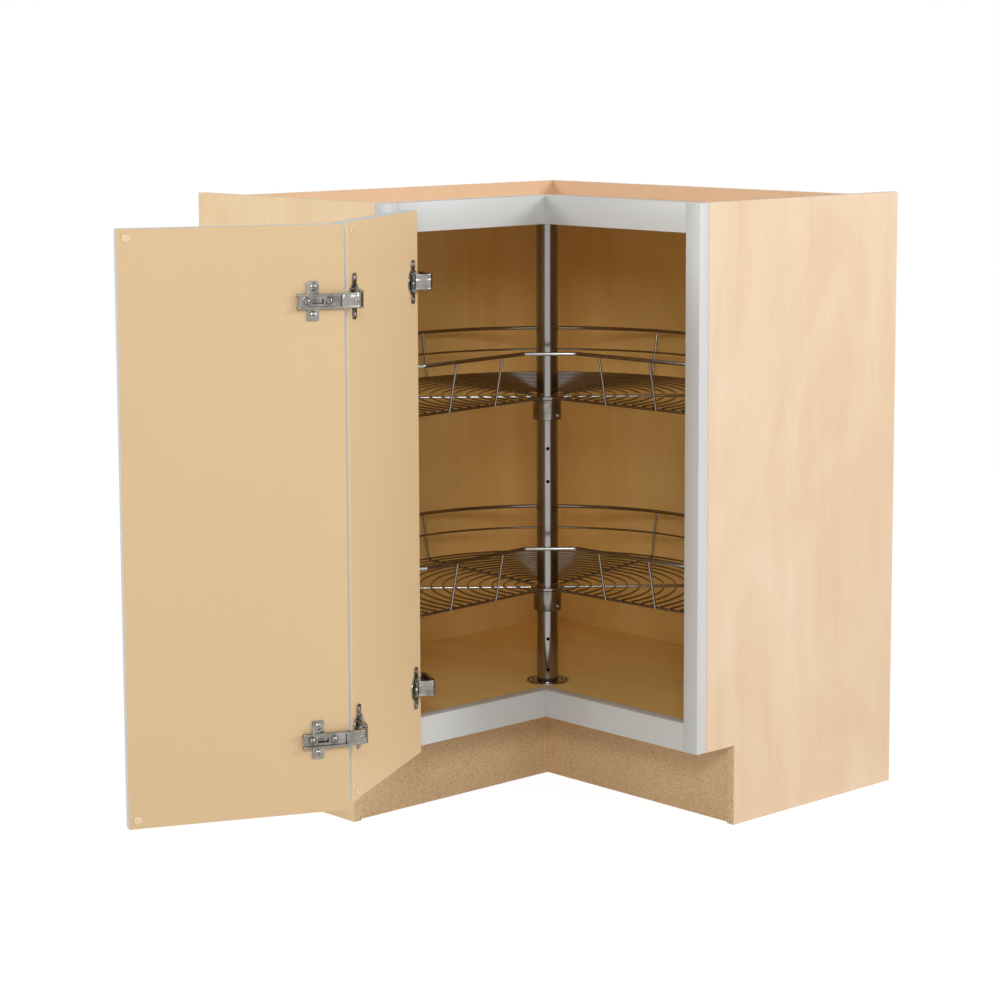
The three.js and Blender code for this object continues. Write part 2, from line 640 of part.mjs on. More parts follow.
// A leaf of the door with softened long edges, and a bore for each hinge cup
function doorLeaf(width, cupPlaces) {
  const r = LEAF_EDGE_RADIUS;
  const section = [
    [r, -LEAF_THICKNESS], [width - r, -LEAF_THICKNESS], [width, -LEAF_THICKNESS + r],
    [width, -r], [width - r, 0], [r, 0], [0, -r], [0, -LEAF_THICKNESS + r],
  ];
  const slab = prism(section, 'z', LEAF_BOTTOM, LEAF_TOP);
  if (!cupPlaces.length) return slab;
  return cut(slab, cupPlaces.map(([x, z]) => (
    rod([x, -CUP_DEPTH - SEAT, z], [x, DRILL_OVERRUN, z], CUP_RADIUS, CUP_SIDES))));
}

const CUP_ON_A = { frame: CUP_EDGE_DISTANCE, fold: LEAF_A_WIDTH - CUP_EDGE_DISTANCE };
const cupPlaces = Object.values(HINGE_HEIGHTS).flatMap((z) => Object.values(CUP_ON_A).map((x) => [x, z]));
add(leafAShut, 'door_leaf_a', doorLeaf(LEAF_A_WIDTH, cupPlaces), beigeMelamine);
add(leafBShut, 'door_leaf_b', doorLeaf(LEAF_B_WIDTH, []), beigeMelamine);

// Hinge cup: a pressed dish in the leaf under a flange with a wing above and below
function hingeCup(lugs) {
  const outside = CUP_RADIUS - SEAT;
  const face = SEAT + CUP_FLANGE_THICKNESS;
  const dish = turned([
    [0, -CUP_DEPTH], [outside, -CUP_DEPTH], [outside, SEAT + CUP_COLLAR], [0, SEAT + CUP_COLLAR],
  ], CUP_SIDES).rotateX(-Math.PI / 2);
  const wings = prism(roundedOutline(CUP_FLANGE_HEIGHT, CUP_FLANGE_WIDTH, TAB_CORNER), 'y', SEAT, face);
  const collar = rod([0, SEAT, 0], [0, face, 0], CUP_RADIUS, CUP_SIDES);
  const mouth = face + DRILL_OVERRUN;
  const hollow = rod([0, -CUP_DEPTH + CUP_WALL, 0], [0, mouth, 0], outside - CUP_WALL, CUP_SIDES);
  const body = cut(joined([dish, wings, collar]), [hollow]);
  return joined([body, ...lugs]);
}

// Two cheeks of a fork, each side of a link of the given height
function forkCheeks(outline, linkHeight, gap) {
  const inside = linkHeight / 2 + gap;
  return [1, -1].map((side) => {
    const faces = [side * inside, side * (inside + CHEEK_THICKNESS)].sort((a, b) => a - b);
    return prism(outline, 'z', ...faces);
  });
}

function pinBore(x, y, reach) {
  return rod([x, y, -reach], [x, y, reach], PIN_RADIUS + SEAT, SMALL_SIDES);
}

// Fold hinge: cup on leaf A with a fork that reaches the fold axis, an arm and plate on leaf B
const forkReach = FOLD_ARM_HEIGHT / 2 + FORK_GAP + CHEEK_THICKNESS;
const foldLug = [
  [FOLD_ON_A[0] - CUP_ON_A.fold, FOLD_ON_A[1]],
  [CUP_RADIUS - FOLD_LUG_KNEE.inset, FOLD_LUG_KNEE.proud],
  [CUP_RADIUS - FOLD_LUG_FOOT_INSET, FOLD_LUG_WIDTH / 2 + 2 * SEAT],
];

function foldCup() {
  const cheeks = forkCheeks(strapOutline(foldLug, FOLD_LUG_WIDTH / 2), FOLD_ARM_HEIGHT, FORK_GAP);
  return cut(hingeCup(cheeks), [pinBore(...foldLug[0], forkReach + DRILL_OVERRUN)]);
}

function foldArm() {
  const level = FOLD_PLATE_THICKNESS + 2 * SEAT + FOLD_ARM_THICKNESS / 2;
  const { rise, run, drop } = FOLD_ARM_KNEES;
  const route = [
    [-FOLD_AXIS_ALONG, -FOLD_AXIS_DEPTH], [-FOLD_AXIS_ALONG + rise, level - drop],
    [-FOLD_AXIS_ALONG + run, level], [FOLD_ARM_LENGTH, level],
  ];
  const half = FOLD_ARM_HEIGHT / 2;
  const arm = prism(strapOutline(route, FOLD_ARM_THICKNESS / 2), 'z', -half, half);
  return cut(arm, [pinBore(-FOLD_AXIS_ALONG, -FOLD_AXIS_DEPTH, forkReach)]);
}

function foldPlate() {
  const tab = (height, width, along) => (
    prism(roundedOutline(height, width, TAB_CORNER), 'y', SEAT, SEAT + FOLD_PLATE_THICKNESS)
      .translate(along, 0, 0));
  const { height, width, along } = FOLD_PLATE_TONGUE;
  return joined([tab(FOLD_PLATE_HEIGHT, FOLD_PLATE_WIDTH, FOLD_PLATE_ALONG), tab(height, width, along)]);
}

function bumper() {
  return rod([0, SEAT, 0], [0, BUMPER_THICKNESS, 0], BUMPER_RADIUS, BUMPER_SIDES);
}

// Frame hinge: the cranked link's knee and tip, in leaf A's axes
const LINK_PROUD = SEAT + CUP_FLANGE_THICKNESS + LINK_TIP_CLEARANCE + LINK_THICKNESS / 2;
const linkOnA = [[LINK_KNEE_ALONG, LINK_KNEE_PROUD], [CUP_EDGE_DISTANCE, LINK_PROUD]];
const linkPivot = [SIDE_DEPTH - LINK_PIVOT_BACK, -(WALL_RUN - STILE_WIDTH - LINK_PIVOT_OUT)];

function toCabinet([along, proud]) {
  const p = new THREE.Vector2(along - SWING_AXIS_ALONG, proud + SWING_AXIS_DEPTH);
  p.rotateAround(new THREE.Vector2(), Math.PI / 2 - OPEN_ANGLE);
  return [leafA.position.x + p.x, leafA.position.y + p.y];
}

const frameForkReach = LINK_HEIGHT / 2 + FORK_GAP + CHEEK_THICKNESS;

function frameLink() {
  const reach = linkOnA.map(toCabinet).map(([x, y]) => [x - linkPivot[0], y - linkPivot[1]]);
  const route = [[0, 0], LINK_CRANK, ...reach];
  const link = prism(strapOutline(route, LINK_THICKNESS / 2), 'z', -LINK_HEIGHT / 2, LINK_HEIGHT / 2);
  return cut(link, [pinBore(0, 0, LINK_HEIGHT)]);
}

// Plate on the stile's inner edge, with a fork that holds the link's pin
function frameFork() {
  const edge = -(WALL_RUN - STILE_WIDTH) + SEAT - linkPivot[1];
  const high = edge + FRAME_PLATE_THICKNESS;
  const plate = prism(roundedOutline(FRAME_PLATE_HEIGHT, FRAME_PLATE_WIDTH, TAB_CORNER), 'y', edge, high);
  const strap = strapOutline([[0, 0], [0, edge + FRAME_CHEEK_BEHIND]], FRAME_CHEEK_WIDTH / 2);
  const cheeks = forkCheeks(strap, LINK_HEIGHT, FORK_GAP);
  return cut(joined([plate, ...cheeks]), [pinBore(0, 0, frameForkReach + DRILL_OVERRUN)]);
}

// Cup on the hinge edge: a tongue over its mouth guides the link's short arm.
function frameCup() {
  const [knee, tip] = linkOnA.map((p) => new THREE.Vector2(...p));
  const arm = knee.clone().sub(tip).normalize();
  const beside = new THREE.Vector2(-arm.y, arm.x);
  const guide = tip.clone().addScaledVector(beside, LINK_THICKNESS / 2 + CUP_TONGUE_THICKNESS / 2 + RUNNING);
  const flush = SEAT + CUP_FLANGE_THICKNESS - CUP_TONGUE_THICKNESS / 2;
  const end = guide.x - CUP_EDGE_DISTANCE;
  const route = [[-CUP_RADIUS + CUP_WALL, flush], [end - 2 * CUP_TONGUE_THICKNESS, flush], [end, guide.y]];
  const half = CUP_TONGUE_HEIGHT / 2;
  return hingeCup([prism(strapOutline(route, CUP_TONGUE_THICKNESS / 2), 'z', -half, half)]);
}

for (const [name, z] of Object.entries(HINGE_HEIGHTS)) {
  const raise = (mesh, x, y) => mesh.position.set(x, y, z);
  raise(add(leafAShut, `${name}_frame_hinge_cup`, frameCup(), nickel), CUP_ON_A.frame, 0);
  raise(add(leafAShut, `${name}_fold_hinge_cup`, foldCup(), nickel), CUP_ON_A.fold, 0);
  raise(add(leafAShut, `${name}_fold_hinge_pin`,
    rod([0, 0, -forkReach], [0, 0, forkReach], PIN_RADIUS, SMALL_SIDES), nickel), ...FOLD_ON_A);
  raise(add(leafBShut, `${name}_fold_hinge_arm`, foldArm(), nickel), 0, 0);
  raise(add(leafBShut, `${name}_fold_hinge_plate`, foldPlate(), nickel), 0, 0);
  raise(add(cabinet, `${name}_frame_hinge_link`, frameLink(), nickel), ...linkPivot);
  raise(add(cabinet, `${name}_frame_hinge_fork`, frameFork(), nickel), ...linkPivot);
  raise(add(cabinet, `${name}_frame_hinge_pin`,
    rod([0, 0, -frameForkReach], [0, 0, frameForkReach], PIN_RADIUS, SMALL_SIDES), nickel), ...linkPivot);
}

for (const [name, z] of [['top', LEAF_TOP - BUMPER_INSET], ['bottom', LEAF_BOTTOM + BUMPER_INSET]]) {
  const onA = LEAF_A_WIDTH - BUMPER_INSET - BUMPER_CLEAR_OF_FOLD;
  add(leafAShut, `leaf_a_${name}_bumper`, bumper(), clearPad).position.set(onA, 0, z);
  const onB = LEAF_B_WIDTH - BUMPER_INSET;
  add(leafBShut, `leaf_b_${name}_bumper`, bumper(), clearPad).position.set(onB, 0, z);
}

// ---------- origin: on the floor, under the middle of the cabinet with its door open ----------

const extent = new THREE.Box3().setFromObject(cabinet);
const middle = extent.getCenter(new THREE.Vector3());
cabinet.position.set(-middle.x, -middle.y, -extent.min.z);

export default cabinet;
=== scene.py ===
import json
import math

import bmesh
import bpy
from mathutils import Matrix, Vector


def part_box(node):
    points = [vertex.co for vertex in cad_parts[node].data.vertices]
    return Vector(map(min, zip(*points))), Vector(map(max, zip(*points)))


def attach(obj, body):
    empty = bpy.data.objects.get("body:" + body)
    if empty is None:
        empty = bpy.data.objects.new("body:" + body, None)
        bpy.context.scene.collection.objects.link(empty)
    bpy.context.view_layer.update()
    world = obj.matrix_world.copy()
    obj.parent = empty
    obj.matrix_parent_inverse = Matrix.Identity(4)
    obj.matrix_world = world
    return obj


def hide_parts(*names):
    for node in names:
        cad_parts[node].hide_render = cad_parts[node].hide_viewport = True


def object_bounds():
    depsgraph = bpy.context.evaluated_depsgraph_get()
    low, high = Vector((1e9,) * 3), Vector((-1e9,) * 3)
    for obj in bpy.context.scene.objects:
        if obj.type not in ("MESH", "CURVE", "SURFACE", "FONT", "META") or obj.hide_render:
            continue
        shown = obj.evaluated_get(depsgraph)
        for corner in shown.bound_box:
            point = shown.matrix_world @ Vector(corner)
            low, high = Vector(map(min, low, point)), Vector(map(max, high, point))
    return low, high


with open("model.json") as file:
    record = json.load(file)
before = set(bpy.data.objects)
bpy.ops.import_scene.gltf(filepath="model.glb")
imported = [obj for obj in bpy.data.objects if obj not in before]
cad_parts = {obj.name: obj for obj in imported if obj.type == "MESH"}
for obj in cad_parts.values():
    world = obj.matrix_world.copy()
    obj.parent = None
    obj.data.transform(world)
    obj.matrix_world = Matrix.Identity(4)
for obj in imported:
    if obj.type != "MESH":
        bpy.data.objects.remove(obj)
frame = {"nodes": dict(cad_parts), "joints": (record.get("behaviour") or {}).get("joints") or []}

cad_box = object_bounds()

# ---------- the studio ----------
# A long lens looks at the open corner from the room, a little above the counter. The walls
# and the floor are white to the eye, and soft lamps stand either side of the camera.

CAMERA_PLACE = Vector((2.845, -2.4813, 1.078))
CAMERA_YAW = math.radians(47.245)
CAMERA_PITCH = math.radians(7.335)
CAMERA_ROLL = math.radians(-0.206)
FOCAL_LENGTH = 97.12
SENSOR_WIDTH = 36
FRAMING_SHIFT = -0.1

camera_data = bpy.data.cameras.new("camera")
camera_data.lens = FOCAL_LENGTH
camera_data.sensor_width = SENSOR_WIDTH
camera_data.shift_y = FRAMING_SHIFT
camera = bpy.data.objects.new("camera", camera_data)
bpy.context.scene.collection.objects.link(camera)
aim = (Matrix.Rotation(CAMERA_YAW, 4, "Z") @ Matrix.Rotation(math.pi / 2 - CAMERA_PITCH, 4, "X")
       @ Matrix.Rotation(CAMERA_ROLL, 4, "Z"))
camera.matrix_world = Matrix.Translation(CAMERA_PLACE) @ aim
bpy.context.scene.camera = camera
bpy.context.scene.view_settings.view_transform = "Standard"


def linear(*channels):
    """A colour given in the 0 to 255 steps of a screen, as light."""
    parts = [c / 255 for c in channels]
    return (*(p / 12.92 if p <= 0.04045 else ((p + 0.055) / 1.055) ** 2.4 for p in parts), 1.0)


class Socket:
    """A node's output that does sums as a number does."""

    def __init__(self, finish, output):
        self.finish = finish
        self.output = output

    def sum(self, operation, *values):
        return self.finish.node("ShaderNodeMath", {"operation": operation}, dict(enumerate(values)))

    def __add__(self, other):
        return self.sum("ADD", self, other)

    __radd__ = __add__

    def __rsub__(self, other):
        return self.sum("SUBTRACT", other, self)

    def __mul__(self, other):
        return self.sum("MULTIPLY", self, other)

    __rmul__ = __mul__

    def __gt__(self, other):
        return self.sum("GREATER_THAN", self, other)

    def __lt__(self, other):
        return self.sum("LESS_THAN", self, other)

    def most(self, other):
        return self.sum("MAXIMUM", self, other)


class Finish:
    """One material's nodes. Sockets are given by name or number."""

    def __init__(self, name, owner=None, **surface):
        self.owner = owner or bpy.data.materials.new(name)
        self.owner.use_nodes = True
        self.tree = self.owner.node_tree
        self.tree.nodes.clear()
        if owner is None:
            self.surface = self.tree.nodes.new("ShaderNodeBsdfPrincipled")
            self.out = self.tree.nodes.new("ShaderNodeOutputMaterial")
            self.tree.links.new(self.surface.outputs[0], self.out.inputs["Surface"])
            self.set(**surface)

    def fill(self, made, sockets):
        for key, value in sockets.items():
            if isinstance(value, Socket):
                self.tree.links.new(value.output, made.inputs[key])
            else:
                made.inputs[key].default_value = value

    def node(self, kind, settings=None, sockets=None, output=0):
        made = self.tree.nodes.new(kind)
        for key, value in (settings or {}).items():
            if key == "stops":
                ramp = made.color_ramp
                ramp.elements[0].position, ramp.elements[0].color = value[0]
                ramp.elements[1].position, ramp.elements[1].color = value[-1]
                for place, colour in value[1:-1]:
                    ramp.elements.new(place).color = colour
            else:
                setattr(made, key, value)
        self.fill(made, sockets or {})
        return Socket(self, made.outputs[output]) if made.outputs else None

    def set(self, **sockets):
        self.fill(self.surface, {key.replace("_", " "): value for key, value in sockets.items()})

    def mix(self, factor, first, second):
        settings = {"data_type": "RGBA"}
        return self.node("ShaderNodeMix", settings, {0: factor, 6: first, 7: second}, output=2)

    def place(self, stretch=(1, 1, 1)):
        here = self.node("ShaderNodeTexCoord", output=3)
        return self.node("ShaderNodeMapping", {}, {"Vector": here, "Scale": stretch})

    def noise(self, per_metre, detail, stretch=(1, 1, 1), **more):
        sockets = {"Vector": self.place(stretch), "Scale": per_metre, "Detail": detail}
        return self.node("ShaderNodeTexNoise", {}, {**sockets, **more})

    def bump(self, height, distance):
        bumped = self.node("ShaderNodeBump", {}, {"Height": height, "Distance": distance})
        self.set(Normal=bumped)

    def facing(self, direction):
        """1 where the surface faces the direction, in the piece's own axes."""
        normal = self.node("ShaderNodeTexCoord", output=1)
        along = self.node("ShaderNodeVectorMath", {"operation": "DOT_PRODUCT"},
                          {0: normal, 1: direction}, output=1)
        return along > 0.5


def seen(finish):
    """1 for a ray from the eye, straight or by way of metal or glass."""
    rays = [finish.node("ShaderNodeLightPath", output=name)
            for name in ("Is Camera Ray", "Is Glossy Ray", "Is Transmission Ray")]
    return rays[0].most(rays[1]).most(rays[2])


ROOM_LIGHT = 0.36
WHITE = (1, 1, 1, 1)
world = bpy.data.worlds.new("studio")
bpy.context.scene.world = world
room = Finish("studio", owner=world)
room_glow = room.node("ShaderNodeBackground", {}, {"Color": WHITE, "Strength": ROOM_LIGHT})
room_white = room.node("ShaderNodeBackground", {}, {"Color": WHITE, "Strength": 1.0})
room_mix = room.node("ShaderNodeMixShader", {}, {0: seen(room), 1: room_glow, 2: room_white})
room.node("ShaderNodeOutputWorld", {}, {"Surface": room_mix})

FLOOR_REACH = 14.0
FLOOR_MATT = linear(248, 248, 248)
FLOOR_SHOWN = 0.8
FLOOR_WHITE = 1.165
floor_paint = Finish("studio_floor")
floor_matt = floor_paint.node("ShaderNodeBsdfDiffuse", {}, {"Color": FLOOR_MATT})
floor_white = floor_paint.node("ShaderNodeEmission", {}, {"Color": WHITE, "Strength": FLOOR_WHITE})
floor_mix = floor_paint.node("ShaderNodeMixShader", {},
                             {0: seen(floor_paint) * FLOOR_SHOWN, 1: floor_matt, 2: floor_white})
floor_paint.fill(floor_paint.out, {"Surface": floor_mix})
bpy.ops.mesh.primitive_plane_add(size=FLOOR_REACH, location=(0, 0, cad_box[0][2]))
studio_floor = bpy.context.object
studio_floor.name = "studio_floor"
studio_floor.data.materials.append(floor_paint.owner)


def lamp(name, place, aim_height, width, watts):
    """A square soft lamp that looks at the cabinet's middle."""
    light = bpy.data.lights.new(name, "AREA")
    light.shape = "SQUARE"
    light.size = width
    light.energy = watts
    thing = bpy.data.objects.new(name, light)
    way = Vector((0, 0, aim_height)) - Vector(place)
    turn = way.to_track_quat("-Z", "Y").to_matrix().to_4x4()
    thing.matrix_world = Matrix.Translation(place) @ turn
    bpy.context.scene.collection.objects.link(thing)


lamp("right_lamp", (2.9, 1.7, 1.8), aim_height=0.5, width=0.8, watts=40)
lamp("middle_lamp", (3.3, 0.0, 1.75), aim_height=0.5, width=0.8, watts=8)
lamp("front_lamp", (2.5, -2.2, 1.78), aim_height=0.45, width=0.7, watts=31)
lamp("left_lamp", (-1.2, -3.2, 1.8), aim_height=0.6, width=0.8, watts=34)

# ---------- end panels ----------
# Particle board faced both sides with a pale maple print. The saw cut of the toe notch is
# left raw, so the speckled core shows there.

MM = 0.001
# Both ends carry the same maple print. The left end's colours are painted lighter and the right
# end's darker: painted light and shade for how the lamps fall on each end.
SIDE_LIT_MAPLE_PALE = {"left": linear(247, 219, 178), "right": linear(231, 205, 176)}
SIDE_LIT_MAPLE_DEEP = {"left": linear(239, 206, 159), "right": linear(222, 191, 156)}
PRINT_ROUGHNESS = 0.5
PRINT_BUMP = 0.06 * MM
STREAKS_PER_METRE = 38
PORES_PER_METRE = 420
FLAMES_PER_METRE = 6.5
BARK_SPECK = linear(150, 116, 76)
FLAKE = linear(222, 189, 144)
PALE_FLAKE = linear(238, 212, 174)
FLAKES_PER_METRE = 560
DUST_PER_METRE = 1100
TOE_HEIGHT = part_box("left_bottom_rail")[0].z


def chipboard_colour(finish):
    """Flakes of two sizes pressed together, with dark bark specks."""
    flakes = finish.node("ShaderNodeTexVoronoi", {},
                         {"Vector": finish.place((1, 1, 1.6)), "Scale": FLAKES_PER_METRE},
                         output=1)
    grey = finish.node("ShaderNodeSeparateColor", {}, {0: flakes})
    dust = finish.noise(DUST_PER_METRE, 2.0)
    stops = [(0.16, BARK_SPECK), (0.36, FLAKE), (0.85, PALE_FLAKE)]
    return finish.node("ShaderNodeValToRGB", {"stops": stops}, {0: grey * 0.55 + dust * 0.45})


def maple_print(name, pale, deep, along, change):
    """Printed maple: long soft streaks, fine pores and a cloudy flame, running `along` an axis.
    `change` then alters the colour where a face is cut or plainer."""
    finish = Finish(name, Roughness=PRINT_ROUGHNESS)
    run = {"x": (0.06, 1, 1), "z": (1, 1, 0.05)}[along]
    loose_run = tuple(0.4 if s < 1 else 1 for s in run)
    streaks = finish.noise(STREAKS_PER_METRE, 4.0, run, Roughness=0.6)
    pores = finish.noise(PORES_PER_METRE, 2.0, run)
    cloud = finish.noise(FLAMES_PER_METRE, 3.0, loose_run, Distortion=1.6)
    depth = streaks * 0.28 + pores * 0.16 + cloud * 0.6
    grain = finish.node("ShaderNodeMapRange", {"clamp": True},
                        {"Value": depth, "From Min": 0.38, "From Max": 0.66})
    finish.set(Base_Color=change(finish, finish.mix(grain, pale, deep)),
               Roughness=PRINT_ROUGHNESS + 0.06 * pores)
    finish.bump(pores, PRINT_BUMP)
    return finish.owner


def height_of(finish):
    return finish.node("ShaderNodeSeparateXYZ", {}, {0: finish.place()}, output=2)


def notch_edge(across):
    """Shows the raw core on the narrow faces below the toe notch."""
    def change(finish, colour):
        face = finish.facing(across).most(finish.facing(tuple(-c for c in across)))
        low_down = height_of(finish) < TOE_HEIGHT + 0.5 * MM
        return finish.mix((1 - face) * low_down, colour, chipboard_colour(finish))
    return change


def dress(node, material):
    """Gives a solid of the frame its finish."""
    thing = frame["nodes"][node]
    thing.data.materials.clear()
    thing.data.materials.append(material)


for side, across in (("left", (0, 1, 0)), ("right", (1, 0, 0))):
    dress(f"{side}_side_panel",
          maple_print(f"{side}_end_maple", SIDE_LIT_MAPLE_PALE[side], SIDE_LIT_MAPLE_DEEP[side], "z",
                      notch_edge(across)))

# ---------- back panels, cabinet floor and top deck ----------
# Thin board faced with one pale maple print. On the faces inside the cupboard, below the deck, it
# is painted a deeper amber, a painted shade for the dim warm light inside; elsewhere the pale print
# shows. The back's grain stands upright; the floor's runs along the wall.

# The amber colours are painted shade: the inside faces carry the same print as outside, darkened
# and warmed for the shade within the cupboard.
SHADED_AMBER_PALE = linear(248, 211, 138)
SHADED_AMBER_DEEP = linear(238, 196, 118)
OUTSIDE_PALE = linear(240, 207, 172)
OUTSIDE_DEEP = linear(232, 194, 154)
DECK_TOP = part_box("top_deck")[1].z


def painted_inner_shade(inward):
    """Paints the amber shade on the face that looks into the cupboard, below the deck; the amber is
    painted shade, the pale print is the board's own colour.
    """
    def change(finish, colour):
        in_shade = finish.facing(inward) * (height_of(finish) < DECK_TOP)
        paler = finish.mix(finish.noise(30, 3.0, (1, 1, 0.1)), OUTSIDE_PALE, OUTSIDE_DEEP)
        return finish.mix(in_shade, paler, colour)
    return change


for node, grain, inward in (("left_back_panel", "z", (1, 0, 0)),
                            ("right_back_panel", "z", (0, -1, 0)),
                            ("floor_panel", "x", (0, 0, 1)),
                            ("top_deck", "x", (0, 0, -1))):
    dress(node, maple_print(f"{node}_maple", SHADED_AMBER_PALE, SHADED_AMBER_DEEP, grain, painted_inner_shade(inward)))

# ---------- toe boards ----------
# Raw particle board, set back behind the end panels' notch. It gets no print or paint, so the
# pressed flakes show, under soft patches of a paler colour that are painted light on the shaded toe
# kick.

# A pale colour laid over the flakes in soft patches: painted light that brightens the toe boards
# where they stand in shade.
TOE_PAINTED_LIGHT = linear(232, 200, 156)

toe_chip = Finish("toe_chipboard", Roughness=0.9)
toe_light_patches = toe_chip.noise(7, 3.0)
toe_chip.set(Base_Color=toe_chip.mix(toe_light_patches * 0.5, chipboard_colour(toe_chip), TOE_PAINTED_LIGHT))
toe_chip.bump(toe_chip.noise(520, 3.0), 0.35 * MM)
for node in ("left_toe_board", "right_toe_board"):
    dress(node, toe_chip.owner)

# ---------- face frame ----------
# Solid hardwood stiles and rails under satin grey paint. The arrises are eased with sandpaper,
# and the joints show as hairlines.

GREY_PAINT = linear(206, 207, 205)
GREY_PAINT_THICK = (*(0.94 * c for c in GREY_PAINT[:3]), 1.0)
FRAME_EASE = 0.9 * MM
SHARP_ANGLE = math.radians(35)
CREASE_ANGLE = math.radians(38)
ON_AXIS = 1e-7


class Piece:
    """Gathers the shells of one piece, in metres, and makes them one mesh."""

    def __init__(self, place=None):
        self.mesh = bmesh.new()
        self.place = place or Matrix.Identity(4)

    def take(self, part, ease=0.0, where=None):
        if ease:
            sharp = [e for e in part.edges if e.calc_face_angle(0) > SHARP_ANGLE]
            bmesh.ops.bevel(part, geom=sharp, offset=ease, segments=2, profile=0.5, affect="EDGES")
        bmesh.ops.recalc_face_normals(part, faces=part.faces)
        part.transform(self.place @ (where or Matrix.Identity(4)))
        temporary = bpy.data.meshes.new("part")
        part.to_mesh(temporary)
        part.free()
        self.mesh.from_mesh(temporary)
        bpy.data.meshes.remove(temporary)

    def block(self, low, high, ease=0.0, where=None):
        part = bmesh.new()
        bmesh.ops.create_cube(part, size=1)
        low, high = Vector(low), Vector(high)
        size = high - low
        part.transform(Matrix.Translation((low + high) / 2) @ Matrix.Diagonal((*size, 1)))
        self.take(part, ease, where)

    def prism(self, outline, low, high, ease=0.0, where=None):
        """An outline in x and y, solid between two heights."""
        part = bmesh.new()
        face = part.faces.new([part.verts.new((x, y, low)) for x, y in outline])
        top = bmesh.ops.extrude_face_region(part, geom=[face])
        lifted = [v for v in top["geom"] if isinstance(v, bmesh.types.BMVert)]
        bmesh.ops.translate(part, vec=(0, 0, high - low), verts=lifted)
        self.take(part, ease, where)

    def turned(self, profile, sides, where=None):
        """A profile of (radius, height) turned about z. It closes on itself or on the axis."""
        part = bmesh.new()
        round_trip = [2 * math.pi * k / sides for k in range(sides)]
        rings = []
        for radius, height in profile:
            spots = [(radius * math.cos(a), radius * math.sin(a), height) for a in round_trip]
            if radius < ON_AXIS:
                spots = [(0, 0, height)]
            rings.append([part.verts.new(spot) for spot in spots])
        closed = profile[0][0] > ON_AXIS and profile[-1][0] > ON_AXIS
        pairs = list(zip(rings, rings[1:])) + ([(rings[-1], rings[0])] if closed else [])
        for first, second in pairs:
            for k in range(sides):
                after = (k + 1) % sides
                corners = [first[k % len(first)], first[after % len(first)],
                           second[after % len(second)], second[k % len(second)]]
                part.faces.new(list(dict.fromkeys(corners)))
        self.take(part, 0, where)

    def tube(self, points, radius, sides=12, closed=False):
        """A round wire through the points."""
        part = bmesh.new()
        line = [Vector(p) for p in points]
        count = len(line)
        ways = []
        for k in range(count):
            before = line[k] - line[k - 1] if closed or k else line[1] - line[0]
            after = line[(k + 1) % count] - line[k] if closed or k < count - 1 else before
            ways.append((before.normalized() + after.normalized()).normalized())
        across = ways[0].orthogonal().normalized()
        round_trip = [2 * math.pi * s / sides for s in range(sides)]
        rings = []
        for point, way in zip(line, ways):
            across = (across - way * across.dot(way)).normalized()
            other = way.cross(across)
            spots = [point + radius * (math.cos(a) * across + math.sin(a) * other)
                     for a in round_trip]
            rings.append([part.verts.new(spot) for spot in spots])
        for k in range(count if closed else count - 1):
            first, second = rings[k], rings[(k + 1) % count]
            for s in range(sides):
                after = (s + 1) % sides
                part.faces.new((first[s], first[after], second[after], second[s]))
        if not closed:
            part.faces.new(rings[0])
            part.faces.new(rings[-1])
        self.take(part)

    def ready(self, name, material, body, slot, replaced):
        mesh = bpy.data.meshes.new(name)
        self.mesh.to_mesh(mesh)
        self.mesh.free()
        mesh.shade_smooth()
        mesh.set_sharp_from_angle(angle=CREASE_ANGLE)
        mesh.materials.append(material)
        thing = bpy.data.objects.new(name, mesh)
        bpy.context.scene.collection.objects.link(thing)
        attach(thing, body)
        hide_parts(replaced)
        return thing


frame_paint = Finish("frame_grey_paint", Roughness=0.42)
brushed = frame_paint.noise(60, 3.0)
mist = frame_paint.noise(4, 2.0)
patchy = mist * 0.5 + brushed * 0.15
frame_paint.set(Base_Color=frame_paint.mix(patchy, GREY_PAINT, GREY_PAINT_THICK),
                Roughness=0.38 + 0.1 * brushed)
frame_paint.bump(frame_paint.noise(700, 2.0), 0.04 * MM)
for side in ("left", "right"):
    for member in ("stile", "top_rail", "bottom_rail"):
        node = f"{side}_{member}"
        board = Piece()
        board.block(*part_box(node), ease=FRAME_EASE)
        board.ready(f"{node}_painted", frame_paint.owner, "carcass", "grey_paint", node)

# ---------- door leaves ----------
# Board faced inside with beige melamine; the outer face and all edges are painted grey. Leaf A
# has round pockets for its hinge cups.

DOOR_OPEN = 150.6
FOLD_OPEN = 36.15
LEAF_A_ANGLE = math.radians(90 - DOOR_OPEN)
LEAF_B_ANGLE = LEAF_A_ANGLE + math.radians(FOLD_OPEN - 90)
SWING_AXIS_ALONG = 3.4
SWING_AXIS_DEPTH = 18.4
FOLD_AXIS_ALONG = 23
FOLD_AXIS_DEPTH = 7.5
# Both leaves are faced with the same melamine. Leaf B's colours are painted darker than leaf A's: a
# painted shade for how the light falls on it.
MELAMINE_LIT_BY_LEAF = {"a": linear(231, 201, 157), "b": linear(221, 191, 148)}
MELAMINE_DEEP_LIT_BY_LEAF = {"a": linear(225, 193, 148), "b": linear(215, 183, 139)}


def axis_of(joint):
    """Where a joint's upright axis stands on the floor."""
    place = next(j for j in frame["joints"] if j["name"] == joint)["pos_m"]
    return Vector((place[0], place[1], 0))


def leaf_axes(joint, angle, along, depth):
    """The leaf's own axes: x along the leaf, y out of its inner face, z up from the floor."""
    turn = Matrix.Rotation(angle, 4, "Z")
    corner = Vector((along, depth, 0)) * MM
    return Matrix.Translation(axis_of(joint)) @ turn @ Matrix.Translation(corner)


